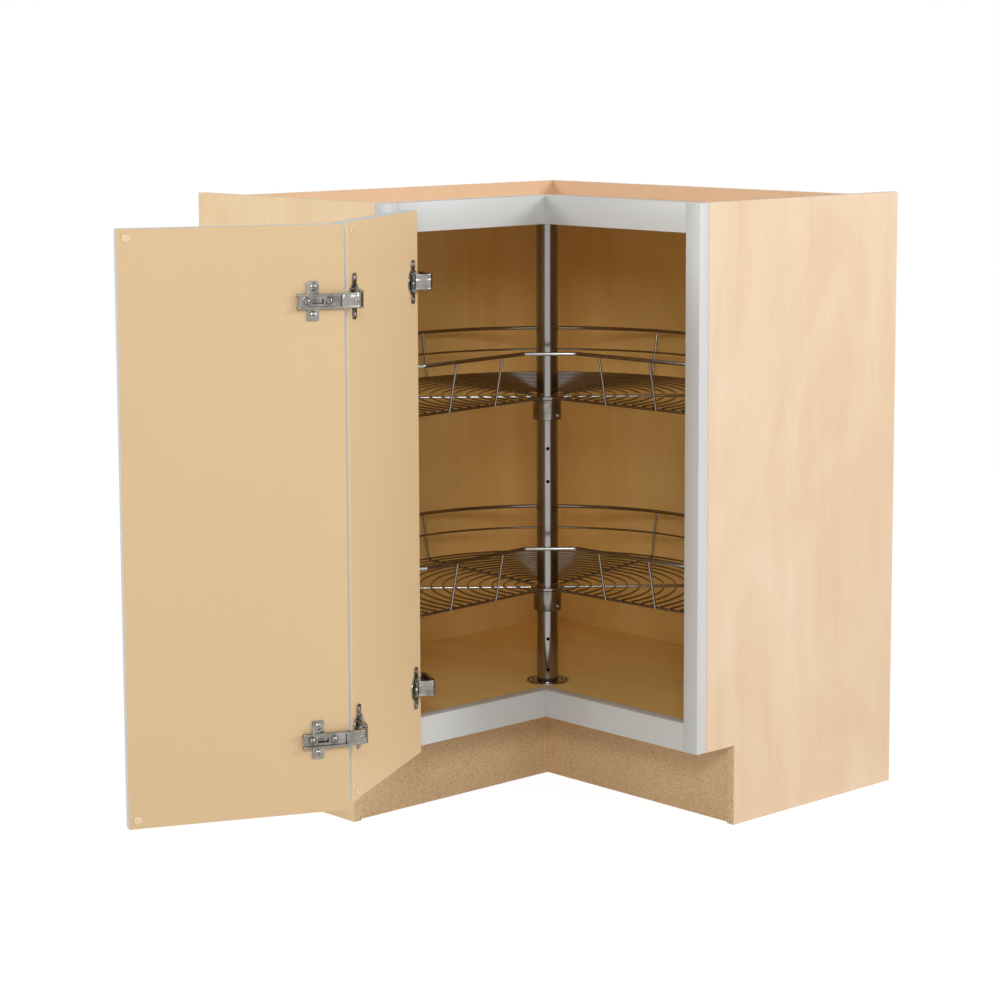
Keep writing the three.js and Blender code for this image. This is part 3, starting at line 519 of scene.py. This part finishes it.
LEAF_A = leaf_axes("door_swing", LEAF_A_ANGLE, -SWING_AXIS_ALONG, SWING_AXIS_DEPTH)
LEAF_B = leaf_axes("leaf_fold", LEAF_B_ANGLE, FOLD_AXIS_ALONG, FOLD_AXIS_DEPTH)
for leaf, axes in (("a", LEAF_A), ("b", LEAF_B)):
    skin = Finish(f"leaf_{leaf}_skin", Roughness=0.45)
    inside = skin.facing(tuple(axes.to_3x3() @ Vector((0, 1, 0))))
    cloud = skin.noise(2.6, 2.0)
    fleck = skin.noise(480, 2.0)
    beige = skin.mix(cloud * 0.7 + fleck * 0.2, MELAMINE_LIT_BY_LEAF[leaf], MELAMINE_DEEP_LIT_BY_LEAF[leaf])
    skin.set(Base_Color=skin.mix(inside, GREY_PAINT, beige), Roughness=0.42 + 0.08 * fleck)
    skin.bump(fleck, 0.04 * MM)
    dress(f"door_leaf_{leaf}", skin.owner)

# ---------- pole ----------
# Chrome-plated steel tube that turns between the floor and the deck. It is drilled at four
# heights for the hubs' set-screws, so that the baskets can be set higher or lower.

POLE_RADIUS = 15.9
POLE_WALL = 2
POLE_LIP = 0.5
POLE_HOLE_RADIUS = 2.6
POLE_HOLE_ANGLE = math.radians(-45)
POLE_HOLE_HEIGHTS = [158.9, 206.2, 444.9, 494.5]
DRILL_TIP = 9
DRILL_END = 20
REST_TURN = math.radians(4)
# Both chrome colours are far darker than bright plating: a painted shade for the dark room that the
# metal reflects. The haze between them is random tone.
CHROME_SHADED_PALE = (0.34, 0.335, 0.32, 1)
CHROME_SHADED_DEEP = (0.24, 0.225, 0.21, 1)
CHROME_ROUGHNESS = 0.13


def metres(points):
    return [[c * MM for c in p] for p in points]


chrome = Finish("chrome_plate", Metallic=1.0, Roughness=CHROME_ROUGHNESS)
haze = chrome.noise(35, 3.0)
scuffs = chrome.noise(260, 2.0, (1, 1, 0.1))
chrome.set(Base_Color=chrome.mix(haze * 0.5, CHROME_SHADED_PALE, CHROME_SHADED_DEEP),
           Roughness=CHROME_ROUGHNESS + 0.09 * haze * scuffs)

about_axis = Matrix.Translation(axis_of("carousel_turn"))
on_carousel = about_axis @ Matrix.Rotation(REST_TURN, 4, "Z")
bottom, top = (corner.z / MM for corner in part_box("pole"))
pole = Piece(on_carousel)
pole.turned(metres([
    (POLE_RADIUS - POLE_WALL, bottom), (POLE_RADIUS - POLE_LIP, bottom),
    (POLE_RADIUS, bottom + POLE_LIP), (POLE_RADIUS, top - POLE_LIP),
    (POLE_RADIUS - POLE_LIP, top), (POLE_RADIUS - POLE_WALL, top)]), 96)
pole_tube = pole.ready("pole_tube", chrome.owner, "carousel", "chrome_wire", "pole")

drills = Piece(on_carousel @ Matrix.Rotation(POLE_HOLE_ANGLE, 4, "Z"))
for height in POLE_HOLE_HEIGHTS:
    drills.turned(metres([(0, DRILL_TIP), (POLE_HOLE_RADIUS, DRILL_TIP),
                          (POLE_HOLE_RADIUS, DRILL_END), (0, DRILL_END)]), 24,
                  Matrix.Translation((0, 0, height * MM)) @ Matrix.Rotation(math.pi / 2, 4, "Y"))
drill_mesh = bpy.data.meshes.new("drills")
drills.mesh.to_mesh(drill_mesh)
drills.mesh.free()
drill_tool = bpy.data.objects.new("drills", drill_mesh)
bpy.context.scene.collection.objects.link(drill_tool)
bore = pole_tube.modifiers.new("holes", "BOOLEAN")
bore.object = drill_tool
bore.operation = "DIFFERENCE"
bpy.context.view_layer.update()
bored = pole_tube.evaluated_get(bpy.context.evaluated_depsgraph_get())
pole_tube_mesh = bpy.data.meshes.new_from_object(bored)
pole_tube.modifiers.clear()
pole_tube.data = pole_tube_mesh
bpy.data.objects.remove(drill_tool)

# ---------- wire baskets ----------
# Chromed steel wire. Concentric floor wires are spot-welded on radial spokes and a hub ring;
# a heavy rail is bent to the pie-cut outline and stands on uprights that lean outward.

BASKETS = {"lower": 285.5, "upper": 573.5}
RAIL_RISE = 69.5
MID_WIRE_RISE = 36
MID_WIRE_INSET = 4
RAIL_RADIUS = 300
RIM_RADIUS = 284
RAIL_WEDGE_OFFSET = 27.6
FLOOR_WEDGE_OFFSET = 8
CHAMFER_OFFSET = 82.7
RAIL_BEND = 14
RAIL_WIRE = 2.8
MID_WIRE = 1.6
UPRIGHT_WIRE = 1.7
FLOOR_WIRE = 1.45
SPOKE_WIRE = 2.1
FLOOR_WIRE_PITCH = 18.2
FLOOR_WIRE_COUNT = 14
TIGHT_WIRE_RADIUS = 120
HUB_RING_RADIUS = 25
HUB_RING_HALF_HEIGHT = 2.3
HUB_RING_EASE = 0.8
SLIDE_FIT = 0.3
WEDGE_UPRIGHTS = [126, 221]
SPOKE_ANGLES = [45, 97, 135, 173, 225]
SPOKE_ROOT = 4
WEDGE_SPOKE_ROOT = 6
SPOKE_TIP = 1
WELD_DEPTH = 0.5
WIRE_END = 1.8
HANDS = ("left", "right")


def polar(radius, degrees):
    return [radius * math.cos(math.radians(degrees)), radius * math.sin(math.radians(degrees))]


def on_wedge(hand, along, offset):
    return [along, -offset] if hand == "right" else [offset, -along]


def arc(radius, offset, height, step):
    """The round side, from the right edge of the cut-out round the back to the left edge."""
    lead = math.degrees(math.asin(offset / radius))
    sweep = 270 + 2 * lead
    count = round(sweep / step)
    return [[*polar(radius, -lead + sweep * k / count), height] for k in range(count + 1)]


def bend(before, corner, after, radius, height, steps=6):
    """A bend in a wire where two straight runs would meet."""
    corner = Vector(corner)
    back = (Vector(before) - corner).normalized()
    on = (Vector(after) - corner).normalized()
    half = back.angle(on) / 2
    centre = corner + (back + on).normalized() * (radius / math.sin(half))
    start = corner + back * (radius / math.tan(half)) - centre
    end = corner + on * (radius / math.tan(half)) - centre
    swing = start.angle_signed(end)
    points = []
    for k in range(steps + 1):
        spoke = start.copy()
        spoke.rotate(Matrix.Rotation(-swing * k / steps, 2))
        points.append([*(centre + spoke), height])
    return points


def basket_floor(z):
    wires = Piece(on_carousel)
    spoke_height = z - SPOKE_WIRE - FLOOR_WIRE + WELD_DEPTH
    ring_low, ring_high = spoke_height - HUB_RING_HALF_HEIGHT, spoke_height + HUB_RING_HALF_HEIGHT
    wires.turned(metres([
        (POLE_RADIUS + SLIDE_FIT, ring_low), (HUB_RING_RADIUS - HUB_RING_EASE, ring_low),
        (HUB_RING_RADIUS, ring_low + HUB_RING_EASE), (HUB_RING_RADIUS, ring_high - HUB_RING_EASE),
        (HUB_RING_RADIUS - HUB_RING_EASE, ring_high), (POLE_RADIUS + SLIDE_FIT, ring_high)]), 64)
    spokes = [(polar(HUB_RING_RADIUS - SPOKE_ROOT, angle), polar(RIM_RADIUS + SPOKE_TIP, angle))
              for angle in SPOKE_ANGLES]
    reach = math.sqrt(RIM_RADIUS ** 2 - FLOOR_WEDGE_OFFSET ** 2) + SPOKE_TIP
    spokes += [(on_wedge(hand, HUB_RING_RADIUS - WEDGE_SPOKE_ROOT, FLOOR_WEDGE_OFFSET),
                on_wedge(hand, reach, FLOOR_WEDGE_OFFSET)) for hand in HANDS]
    for root, tip in spokes:
        wires.tube(metres([[*root, spoke_height], [*tip, spoke_height]]), SPOKE_WIRE * MM)
    for k in range(FLOOR_WIRE_COUNT):
        radius = RIM_RADIUS - k * FLOOR_WIRE_PITCH
        step = 4 if radius > TIGHT_WIRE_RADIUS else 7
        wires.tube(metres(arc(radius, FLOOR_WEDGE_OFFSET + WIRE_END, z, step)),
                   FLOOR_WIRE * MM, sides=10)
    return wires


def basket_rail(z):
    wires = Piece(on_carousel)
    top = z + RAIL_RISE
    rim_foot = z - FLOOR_WIRE
    edge_foot = rim_foot - SPOKE_WIRE
    round_side = arc(RAIL_RADIUS, RAIL_WEDGE_OFFSET, top, 3)
    start, end = round_side[0][:2], round_side[-1][:2]
    knees = [on_wedge(hand, CHAMFER_OFFSET, RAIL_WEDGE_OFFSET) for hand in HANDS]
    corners = [round_side[-6][:2], end, *knees, start, round_side[5][:2]]
    loop = []
    for before, corner, after in zip(corners, corners[1:], corners[2:]):
        loop += bend(before, corner, after, RAIL_BEND, top)
    wires.tube(metres(loop + round_side[2:-2]), RAIL_WIRE * MM, sides=14, closed=True)
    lean = (RAIL_RADIUS - RIM_RADIUS) * (1 - MID_WIRE_RISE / RAIL_RISE)
    mid_line = arc(RAIL_RADIUS - lean + FLOOR_WIRE, RAIL_WEDGE_OFFSET - MID_WIRE_INSET,
                   z + MID_WIRE_RISE, 3)
    wires.tube(metres(mid_line), MID_WIRE * MM, sides=10)
    beside = SLIDE_FIT + UPRIGHT_WIRE
    uprights = [([*polar(RIM_RADIUS + FLOOR_WIRE + beside, angle), rim_foot],
                 polar(RAIL_RADIUS, angle)) for angle in SPOKE_ANGLES]
    uprights += [([*on_wedge(hand, along, FLOOR_WEDGE_OFFSET + SPOKE_WIRE + beside), edge_foot],
                  on_wedge(hand, along, RAIL_WEDGE_OFFSET))
                 for hand in HANDS for along in WEDGE_UPRIGHTS]
    for foot, head in uprights:
        wires.tube(metres([foot, [*head, top]]), UPRIGHT_WIRE * MM)
    return wires


for name, z in BASKETS.items():
    for part, wires in (("floor", basket_floor(z)), ("rail", basket_rail(z))):
        wires.ready(f"{name}_basket_{part}_wires", chrome.owner, "carousel", "chrome_wire",
                    f"{name}_basket_{part}")

# ---------- hubs and their set-screws ----------
# A turned sleeve under each basket, nickel-plated, with a rim that the basket's ring rests on.
# One socket-head set-screw clamps each to the pole.

HUB_RADIUS = 21
HUB_RIM_RADIUS = 23.5
HUB_RIM_HEIGHT = 2.5
SET_SCREW_RADIUS = 3
SET_SCREW_DROP = 24
SET_SCREW_ROOT = 16.3
SET_SCREW_TIP = 23
SOCKET_FLOOR = 21.2
# The nickel's colours are kept dark and laid in large bright and dark blotches: a painted
# reflection of a dark room with pale patches, not a change in the plating.
NICKEL_REFLECTED_PALE = (0.36, 0.345, 0.32, 1)
NICKEL_REFLECTED_DARK = (0.19, 0.18, 0.16, 1)
NICKEL_ROUGHNESS = 0.17

nickel = Finish("nickel_plate", Metallic=1.0, Roughness=NICKEL_ROUGHNESS)
cloud = nickel.noise(60, 2.0, Distortion=0.5)
painted_reflection = nickel.node("ShaderNodeMapRange", {"clamp": True},
                    {"Value": cloud, "From Min": 0.3, "From Max": 0.7})
nickel.set(Base_Color=nickel.mix(painted_reflection, NICKEL_REFLECTED_PALE, NICKEL_REFLECTED_DARK),
           Roughness=NICKEL_ROUGHNESS + 0.12 * cloud)
nickel.bump(nickel.noise(900, 2.0), 0.03 * MM)

for name in BASKETS:
    bottom, top = (corner.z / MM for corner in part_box(f"{name}_hub"))
    rim = top - HUB_RIM_HEIGHT
    inner = POLE_RADIUS + SLIDE_FIT
    sleeve = Piece(on_carousel)
    sleeve.turned(metres([
        (inner, bottom), (HUB_RADIUS - 1.2, bottom), (HUB_RADIUS - 0.4, bottom + 0.4),
        (HUB_RADIUS, bottom + 1.2), (HUB_RADIUS, rim - 0.6), (HUB_RADIUS + 0.6, rim),
        (HUB_RIM_RADIUS - 0.5, rim), (HUB_RIM_RADIUS, rim + 0.5), (HUB_RIM_RADIUS, top - 0.5),
        (HUB_RIM_RADIUS - 0.5, top), (inner, top)]), 80)
    sleeve.ready(f"{name}_hub_sleeve", nickel.owner, "carousel", "nickel_hardware", f"{name}_hub")
    screw = Piece(on_carousel @ Matrix.Translation((0, 0, (top - SET_SCREW_DROP) * MM))
                  @ Matrix.Rotation(math.pi / 2, 4, "Y"))
    socket = SET_SCREW_RADIUS * 0.5
    screw.turned(metres([
        (0, SET_SCREW_ROOT), (SET_SCREW_RADIUS, SET_SCREW_ROOT),
        (SET_SCREW_RADIUS, SET_SCREW_TIP - 0.5), (SET_SCREW_RADIUS - 0.5, SET_SCREW_TIP),
        (socket, SET_SCREW_TIP), (socket, SOCKET_FLOOR), (0, SOCKET_FLOOR)]), 24)
    screw.ready(f"{name}_set_screw_body", chrome.owner, "carousel", "nickel_hardware",
                f"{name}_set_screw")

# ---------- base and head fittings ----------
# Pressed steel flanges, chrome-plated, each held by two cross-head screws; a spigot stands
# inside the pole on a dark nylon bush.

FLANGE_RADIUS = 32.2
FLANGE_THICKNESS = 2.5
SPIGOT_RADIUS = 13.4
SPIGOT_HEIGHT = 15
SPIGOT_TAPER = 2
WASHER_RADIUS = 18
SCREW_SEAT = 0.2
SCREW_HEAD_RADIUS = 4.1
SCREW_HEAD_HEIGHT = 2.2
SCREW_SHANK_RADIUS = 1.9
SCREW_SHANK = [(0, -9), (SCREW_SHANK_RADIUS, -8), (SCREW_SHANK_RADIUS, 0), (0, 0)]


def cross_screw(piece, radius, height, where):
    """A pan head with a cross recess, standing on z = 0."""
    dome = [(radius, 0.35 * height)]
    for k in range(1, 4):
        angle = math.pi / 2 * k / 5
        dome.append((radius * math.cos(angle), (0.35 + 0.65 * math.sin(angle)) * height))
    recess = [(radius * 0.5, height), (radius * 0.42, height), (radius * 0.2, 0.45 * height)]
    piece.turned(metres([(0, 0), (radius, 0), *dome, *recess, (0, 0.4 * height)]), 24, where)
    half, wide = radius * 0.44 * MM, radius * 0.1 * MM
    for turn in (45, 135):
        slot = where @ Matrix.Rotation(math.radians(turn), 4, "Z")
        piece.block((-half, -wide, 0.3 * height * MM), (half, wide, 0.7 * height * MM), where=slot)


nylon = Finish("nylon", Roughness=0.5, Base_Color=linear(66, 60, 54))
nylon.bump(nylon.noise(300, 2.0), 0.05 * MM)
floor_top, deck_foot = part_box("floor_panel")[1].z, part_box("top_deck")[0].z
for name, base, up in (("base", floor_top, 1), ("head", deck_foot, -1)):
    flip = Matrix.Rotation(0 if up == 1 else math.pi, 4, "X")
    fitting = Piece(about_axis @ Matrix.Translation((0, 0, base)) @ flip)
    fitting.turned(metres([
        (0, 0), (FLANGE_RADIUS - 0.3, 0), (FLANGE_RADIUS, 0.4), (FLANGE_RADIUS - 0.2, 1.2),
        (FLANGE_RADIUS - 1.6, 1.9), (FLANGE_RADIUS - 4, 2.2), (WASHER_RADIUS, FLANGE_THICKNESS),
        (SPIGOT_RADIUS, FLANGE_THICKNESS), (SPIGOT_RADIUS, SPIGOT_HEIGHT - SPIGOT_TAPER),
        (SPIGOT_RADIUS - SPIGOT_TAPER, SPIGOT_HEIGHT), (0, SPIGOT_HEIGHT)]), 80)
    fitting.ready(f"{name}_fitting", chrome.owner, "carcass", "chrome_wire", f"{name}_flange")
    dress(f"{name}_bush", nylon.owner)
    for hand in HANDS:
        node = f"{name}_flange_screw_{hand}"
        low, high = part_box(node)
        middle = (low + high) / 2
        middle.z = base + up * (FLANGE_THICKNESS - SCREW_SEAT) * MM
        screw = Piece(Matrix.Translation(middle) @ flip)
        cross_screw(screw, SCREW_HEAD_RADIUS, SCREW_HEAD_HEIGHT, Matrix.Identity(4))
        screw.turned(metres(SCREW_SHANK), 16)
        screw.ready(f"{node}_head", nickel.owner, "carcass", "nickel_hardware", node)

# ---------- hinges ----------
# Concealed cup hinges, stamped steel with nickel plate. Two wide-angle ones hang leaf A on the
# stile; two with long arms let leaf B fold on leaf A.

WALL_RUN = 720.7
SIDE_DEPTH = 419.1
DOOR_REVEAL = 14.2
DOOR_STANDOFF = 2
LEAF_THICKNESS = 19
LEAF_GAP = 1.9
DOOR_SIDE = WALL_RUN - DOOR_REVEAL - SIDE_DEPTH - DOOR_STANDOFF
LEAF_A_WIDTH = DOOR_SIDE - LEAF_THICKNESS - LEAF_GAP
CUP_RADIUS = 17.2
CUP_DEPTH = 11.5
CUP_EDGE_DISTANCE = 22
CUP_FLANGE_TOP = 1.7
CUP_TAB_OFFSET = 22
CUP_SCREW_OFFSET = 23.6
FOLD_PIVOT_A = (DOOR_SIDE - FOLD_AXIS_DEPTH, FOLD_AXIS_ALONG)
FOLD_PIVOT_B = (-FOLD_AXIS_ALONG, -FOLD_AXIS_DEPTH)
FOLD_LUG_HALF = 3.8
FOLD_ARM_LENGTH = 60
FOLD_ARM_THICKNESS = 7
FOLD_ARM_HEIGHT = 19
FOLD_ARM_FLANGE = 2.9
FOLD_ARM_LIFT = 2.6
FOLD_ARM_START = 3
FOLD_ARM_FLOOR_HALF = 1.0
FOLD_ARM_FLOOR_DROP = -1.2
FOLD_ARM_SLOT_HALF = 3.2
FOLD_ARM_BRIDGES = ((3, 28), (43.5, 60))
FOLD_ARM_SCREWS = (21.3, 50.4)
FOLD_PLATE_ALONG = 41.5
FOLD_PLATE_LOW = 0.3
FOLD_PLATE_TOP = 2.1
FOLD_PLATE_SCREW_OFFSET = 17.4
LINK_THICKNESS = 6
LINK_HEIGHT = 21
LINK_CRANK = (24, 14)
LINK_KNEE = (12, 24)
LINK_TIP = (22, 5.7)
LINK_RIB = 2.2
STILE_PLATE_SCREW_OFFSET = 18.7
CHEEK = 1.6
FORK_GAP = 0.5
PIN_RADIUS = 1.6
PIN_EASE = 0.4
PLATE_EASE = 0.4
CAP_STEPS = 8


def strap(points, half, shift=0.0):
    """The outline of a strap of one width along a line of points, with round ends."""
    line = [Vector(p) for p in points]
    sides = []
    for k, point in enumerate(line):
        before = (line[max(k, 1)] - line[max(k - 1, 0)]).normalized()
        after = (line[min(k + 1, len(line) - 1)] - line[min(k, len(line) - 2)]).normalized()
        out = (Vector((-before.y, before.x)) + Vector((-after.y, after.x))).normalized()
        stretch = 1 / max(out.dot(Vector((-before.y, before.x))), 0.4)
        sides.append((point + out * shift * stretch, out * half * stretch))
    left = [p + o for p, o in sides]
    right = [p - o for p, o in reversed(sides)]

    def cap(centre, start):
        arm = start - centre
        return [centre + Matrix.Rotation(-math.pi * k / CAP_STEPS, 2) @ arm
                for k in range(1, CAP_STEPS)]

    whole = left + cap(sides[-1][0], left[-1]) + right + cap(sides[0][0], right[-1])
    return [(p.x, p.y) for p in whole]


def smooth_route(points, radius, steps=5):
    """Rounds the corners of a flat route."""
    route = [points[0]]
    for before, corner, after in zip(points, points[1:], points[2:]):
        corner_at = Vector(corner)
        back = Vector(before) - corner_at
        on = Vector(after) - corner_at
        reach = min(radius, back.length * 0.45, on.length * 0.45)
        start = corner_at + back.normalized() * reach
        end = corner_at + on.normalized() * reach
        for k in range(steps + 1):
            t = k / steps
            route.append(tuple(start * (1 - t) ** 2 + corner_at * 2 * t * (1 - t) + end * t ** 2))
    route.append(points[-1])
    return route


def rounded_tab(width, height, radius, steps=4):
    points = []
    for sx, sy, start in ((1, -1, -90), (1, 1, 0), (-1, 1, 90), (-1, -1, 180)):
        for k in range(steps + 1):
            angle = math.radians(start + 90 * k / steps)
            points.append((sx * (width / 2 - radius) + radius * math.cos(angle),
                           sy * (height / 2 - radius) + radius * math.sin(angle)))
    return points


def facing_out(x, y, z=0.0):
    """Stands a detail on a face whose outward direction is y. In millimetres."""
    return Matrix.Translation((x * MM, y * MM, z * MM)) @ Matrix.Rotation(-math.pi / 2, 4, "X")


def sheet(piece, outline, low, high, ease, where=None):
    """A pressed sheet between two heights, in millimetres."""
    piece.prism(metres(outline), low * MM, high * MM, ease * MM, where)


def strip(piece, route, half, low, high, shift=0.0, ease=0.35):
    """A strap that follows a route, between two heights."""
    sheet(piece, strap(route, half, shift), low, high, ease)


def flanges(near, far):
    """The spans of heights that mirror each other above and below the middle."""
    return [sorted((sign * near, sign * far)) for sign in (1, -1)]


def fork(piece, outline, height):
    inside = height / 2 + FORK_GAP
    for low, high in flanges(inside, inside + CHEEK):
        sheet(piece, outline, low, high, 0.3)


def hinge_pin(place, height):
    """A riveted pin through a fork that holds something of the given height."""
    reach = height / 2 + FORK_GAP + CHEEK
    pin = Piece(place)
    pin.turned(metres([
        (0, -reach), (PIN_RADIUS - PIN_EASE, -reach), (PIN_RADIUS, PIN_EASE - reach),
        (PIN_RADIUS, reach - PIN_EASE), (PIN_RADIUS - PIN_EASE, reach), (0, reach)]), 20)
    return pin


def cup_and_flange(place):
    """A pressed cup in its pocket, with a screwed wing above and below."""
    piece = Piece(place)
    rim = CUP_RADIUS
    piece.turned(metres([
        (0, 1 - CUP_DEPTH), (rim - 3.5, 1 - CUP_DEPTH), (rim - 2.2, 2 - CUP_DEPTH),
        (rim - 1.6, 0.9), (rim - 0.9, CUP_FLANGE_TOP), (rim, CUP_FLANGE_TOP - 0.2),
        (rim + 0.2, 0.9), (rim, 0.35), (rim - 0.2, 1.4 - CUP_DEPTH), (rim - 1, 0.3 - CUP_DEPTH),
        (0, 0.3 - CUP_DEPTH)]), 56, facing_out(0, 0))
    for sign in (1, -1):
        sheet(piece, rounded_tab(14, 15.5, 5.5), 0.35, CUP_FLANGE_TOP, PLATE_EASE,
              facing_out(0, 0, sign * CUP_TAB_OFFSET))
        cross_screw(piece, 3.6, 1.6,
                    facing_out(0, CUP_FLANGE_TOP - 0.3, sign * CUP_SCREW_OFFSET))
    return piece


def fold_plate(place):
    """The cross plate on leaf B: a tongue along the leaf and a wing that its screws hold."""
    plate = Piece(place)
    wing = rounded_tab(15.6, 49.5, 2)
    tongue = rounded_tab(FOLD_ARM_LENGTH - 9, 17.5, 2)
    for outline, along in ((wing, FOLD_PLATE_ALONG), (tongue, FOLD_ARM_LENGTH / 2 + 3)):
        sheet(plate, outline, FOLD_PLATE_LOW, FOLD_PLATE_TOP, PLATE_EASE, facing_out(along, 0))
    for sign in (1, -1):
        cross_screw(plate, 5.0, 2.2,
                    facing_out(FOLD_PLATE_ALONG, 1.9, sign * FOLD_PLATE_SCREW_OFFSET))
    return plate


def fold_arm(place):
    """The arm that clips over the plate: two flanges, a bridged floor and a solid knuckle."""
    arm = Piece(place)
    half = FOLD_ARM_THICKNESS / 2
    level = FOLD_ARM_LIFT + half
    route = smooth_route([FOLD_PIVOT_B, (-17, level - 2), (-7, level), (FOLD_ARM_LENGTH, level)], 6)
    knuckle = [p for p in route if p[0] < 1.5] + [(FOLD_ARM_START, level)]
    floor_line = [(FOLD_ARM_START, level), (FOLD_ARM_LENGTH, level)]
    edge = FOLD_ARM_HEIGHT / 2
    recess = edge - FOLD_ARM_FLANGE
    for low, high in flanges(recess, edge):
        strip(arm, route, half, low, high, ease=0.9)
    for low, high in flanges(FOLD_ARM_SLOT_HALF, recess + 0.4):
        strip(arm, floor_line, FOLD_ARM_FLOOR_HALF, low, high, FOLD_ARM_FLOOR_DROP, 0)
    strip(arm, knuckle, half - 0.15, -recess - 0.4, recess + 0.4)
    for span in FOLD_ARM_BRIDGES:
        strip(arm, [(x, level) for x in span], FOLD_ARM_FLOOR_HALF, -FOLD_ARM_SLOT_HALF - 0.1,
              FOLD_ARM_SLOT_HALF + 0.1, FOLD_ARM_FLOOR_DROP, 0)
    for x in FOLD_ARM_SCREWS:
        collar = [(4.2, 0), (5.7, 0), (5.7, 1.6), (5.2, 2.1), (4.7, 2.1), (4.2, 1.6)]
        arm.turned(metres(collar), 32, facing_out(x, level - 0.6))
        cross_screw(arm, 3.9, 2.3, facing_out(x, level - 0.4))
    tilt = Matrix.Rotation(math.radians(-8), 4, "Y")
    cross_screw(arm, 2.9, 1.3, facing_out(-14.5, level + 1.3) @ tilt)
    return arm


def cranked_link(place, knee, tip):
    """The frame hinge's link: a thick core, a web and a rib along each edge."""
    link = Piece(place)
    route = smooth_route([(0, 0), LINK_CRANK, knee, tip], 8)
    half, edge = LINK_THICKNESS / 2, LINK_HEIGHT / 2
    strip(link, route, half, -4.6, 4.6, ease=0.5)
    strip(link, route, half - 1.8, 1.5 - edge, edge - 1.5, 1.6, 0)
    for low, high in flanges(edge - LINK_RIB, edge):
        strip(link, route, half, low, high, ease=0.7)
    return link


def stile_plate(place, edge):
    """The plate screwed to the stile's edge, with the fork that holds the link's pin."""
    holder = Piece(place)
    sheet(holder, rounded_tab(13.6, 49.6, 4), 0, 2.4, PLATE_EASE, facing_out(0, edge))
    fork(holder, strap([(0, 0), (0, edge + 5)], 4.4), LINK_HEIGHT)
    for sign in (1, -1):
        cross_screw(holder, 3.6, 1.8, facing_out(0, edge + 2.2, sign * STILE_PLATE_SCREW_OFFSET))
    return holder


def hinge_piece(piece, name, body, node):
    piece.ready(name, nickel.owner, body, "nickel_hardware", node)


for name in ("upper", "lower"):
    low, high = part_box(f"{name}_fold_hinge_arm")
    up = Matrix.Translation((0, 0, (low.z + high.z) / 2))

    # The fold hinge: its cup on leaf A with the fork for the arm's pin, its plate and arm on leaf B
    cup_x = LEAF_A_WIDTH - CUP_EDGE_DISTANCE
    cup = cup_and_flange(LEAF_A @ up @ Matrix.Translation((cup_x * MM, 0, 0)))
    lug = [(FOLD_PIVOT_A[0] - cup_x, FOLD_PIVOT_A[1]), (CUP_RADIUS - 1.7, 11),
           (CUP_RADIUS - 4.7, 4.6)]
    fork(cup, strap(smooth_route(lug, 5), FOLD_LUG_HALF), FOLD_ARM_HEIGHT)
    pin_place = Matrix.Translation((FOLD_PIVOT_A[0] * MM, FOLD_PIVOT_A[1] * MM, 0))
    pin = hinge_pin(LEAF_A @ up @ pin_place, FOLD_ARM_HEIGHT)
    hinge_piece(cup, f"{name}_fold_cup", "leaf_a", f"{name}_fold_hinge_cup")
    hinge_piece(pin, f"{name}_fold_pin", "leaf_a", f"{name}_fold_hinge_pin")
    hinge_piece(fold_plate(LEAF_B @ up), f"{name}_fold_plate", "leaf_b", f"{name}_fold_hinge_plate")
    hinge_piece(fold_arm(LEAF_B @ up), f"{name}_fold_arm", "leaf_b", f"{name}_fold_hinge_arm")

    # The frame hinge: its cup on leaf A, its link, and the plate, fork and pin on the stile
    cup = cup_and_flange(LEAF_A @ up @ Matrix.Translation((CUP_EDGE_DISTANCE * MM, 0, 0)))
    link_axis = axis_of("hinge_link_swing")
    pivot = Matrix.Translation(link_axis) @ up
    to_pivot = pivot.inverted() @ LEAF_A @ up
    knee, tip = ((to_pivot @ Vector((x * MM, y * MM, 0)) / MM)[:2]
                 for x, y in (LINK_KNEE, LINK_TIP))
    stile_edge = (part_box("left_stile")[1].y - link_axis.y) / MM + 0.3
    hinge_piece(cup, f"{name}_frame_cup", "leaf_a", f"{name}_frame_hinge_cup")
    hinge_piece(cranked_link(pivot, knee, tip), f"{name}_link", "hinge_links",
                f"{name}_frame_hinge_link")
    hinge_piece(stile_plate(pivot, stile_edge), f"{name}_fork", "carcass",
                f"{name}_frame_hinge_fork")
    hinge_piece(hinge_pin(pivot, LINK_HEIGHT), f"{name}_frame_pin", "carcass",
                f"{name}_frame_hinge_pin")

# ---------- door bumpers ----------
# Small domes of clear soft plastic, moulded with a sticky back. They are stuck to the inner
# faces of the leaves so that the door shuts quietly.

BUMPER_RADIUS = 5.4
BUMPER_HEIGHT = 1.5
BUMPER_GLUE = 0.3
CLEAR_PALE = linear(236, 212, 174)
CLEAR_DEEP = linear(226, 200, 160)

clear = Finish("clear_plastic", Roughness=0.22)
clear.set(Base_Color=clear.mix(clear.noise(400, 2.0), CLEAR_PALE, CLEAR_DEEP))
for leaf, axes in (("leaf_a", LEAF_A), ("leaf_b", LEAF_B)):
    for end in ("top", "bottom"):
        node = f"{leaf}_{end}_bumper"
        low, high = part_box(node)
        middle = axes.inverted() @ ((low + high) / 2) / MM
        pad = Piece(axes @ facing_out(middle.x, 0, middle.z))
        pad.turned(metres([
            (0, BUMPER_GLUE), (BUMPER_RADIUS, BUMPER_GLUE), (BUMPER_RADIUS - 0.1, 0.9),
            (BUMPER_RADIUS - 0.9, 1.3), (BUMPER_RADIUS - 2.2, BUMPER_HEIGHT),
            (0, BUMPER_HEIGHT)]), 32)
        pad.ready(f"{node}_dome", clear.owner, leaf, "clear_bumper", node)
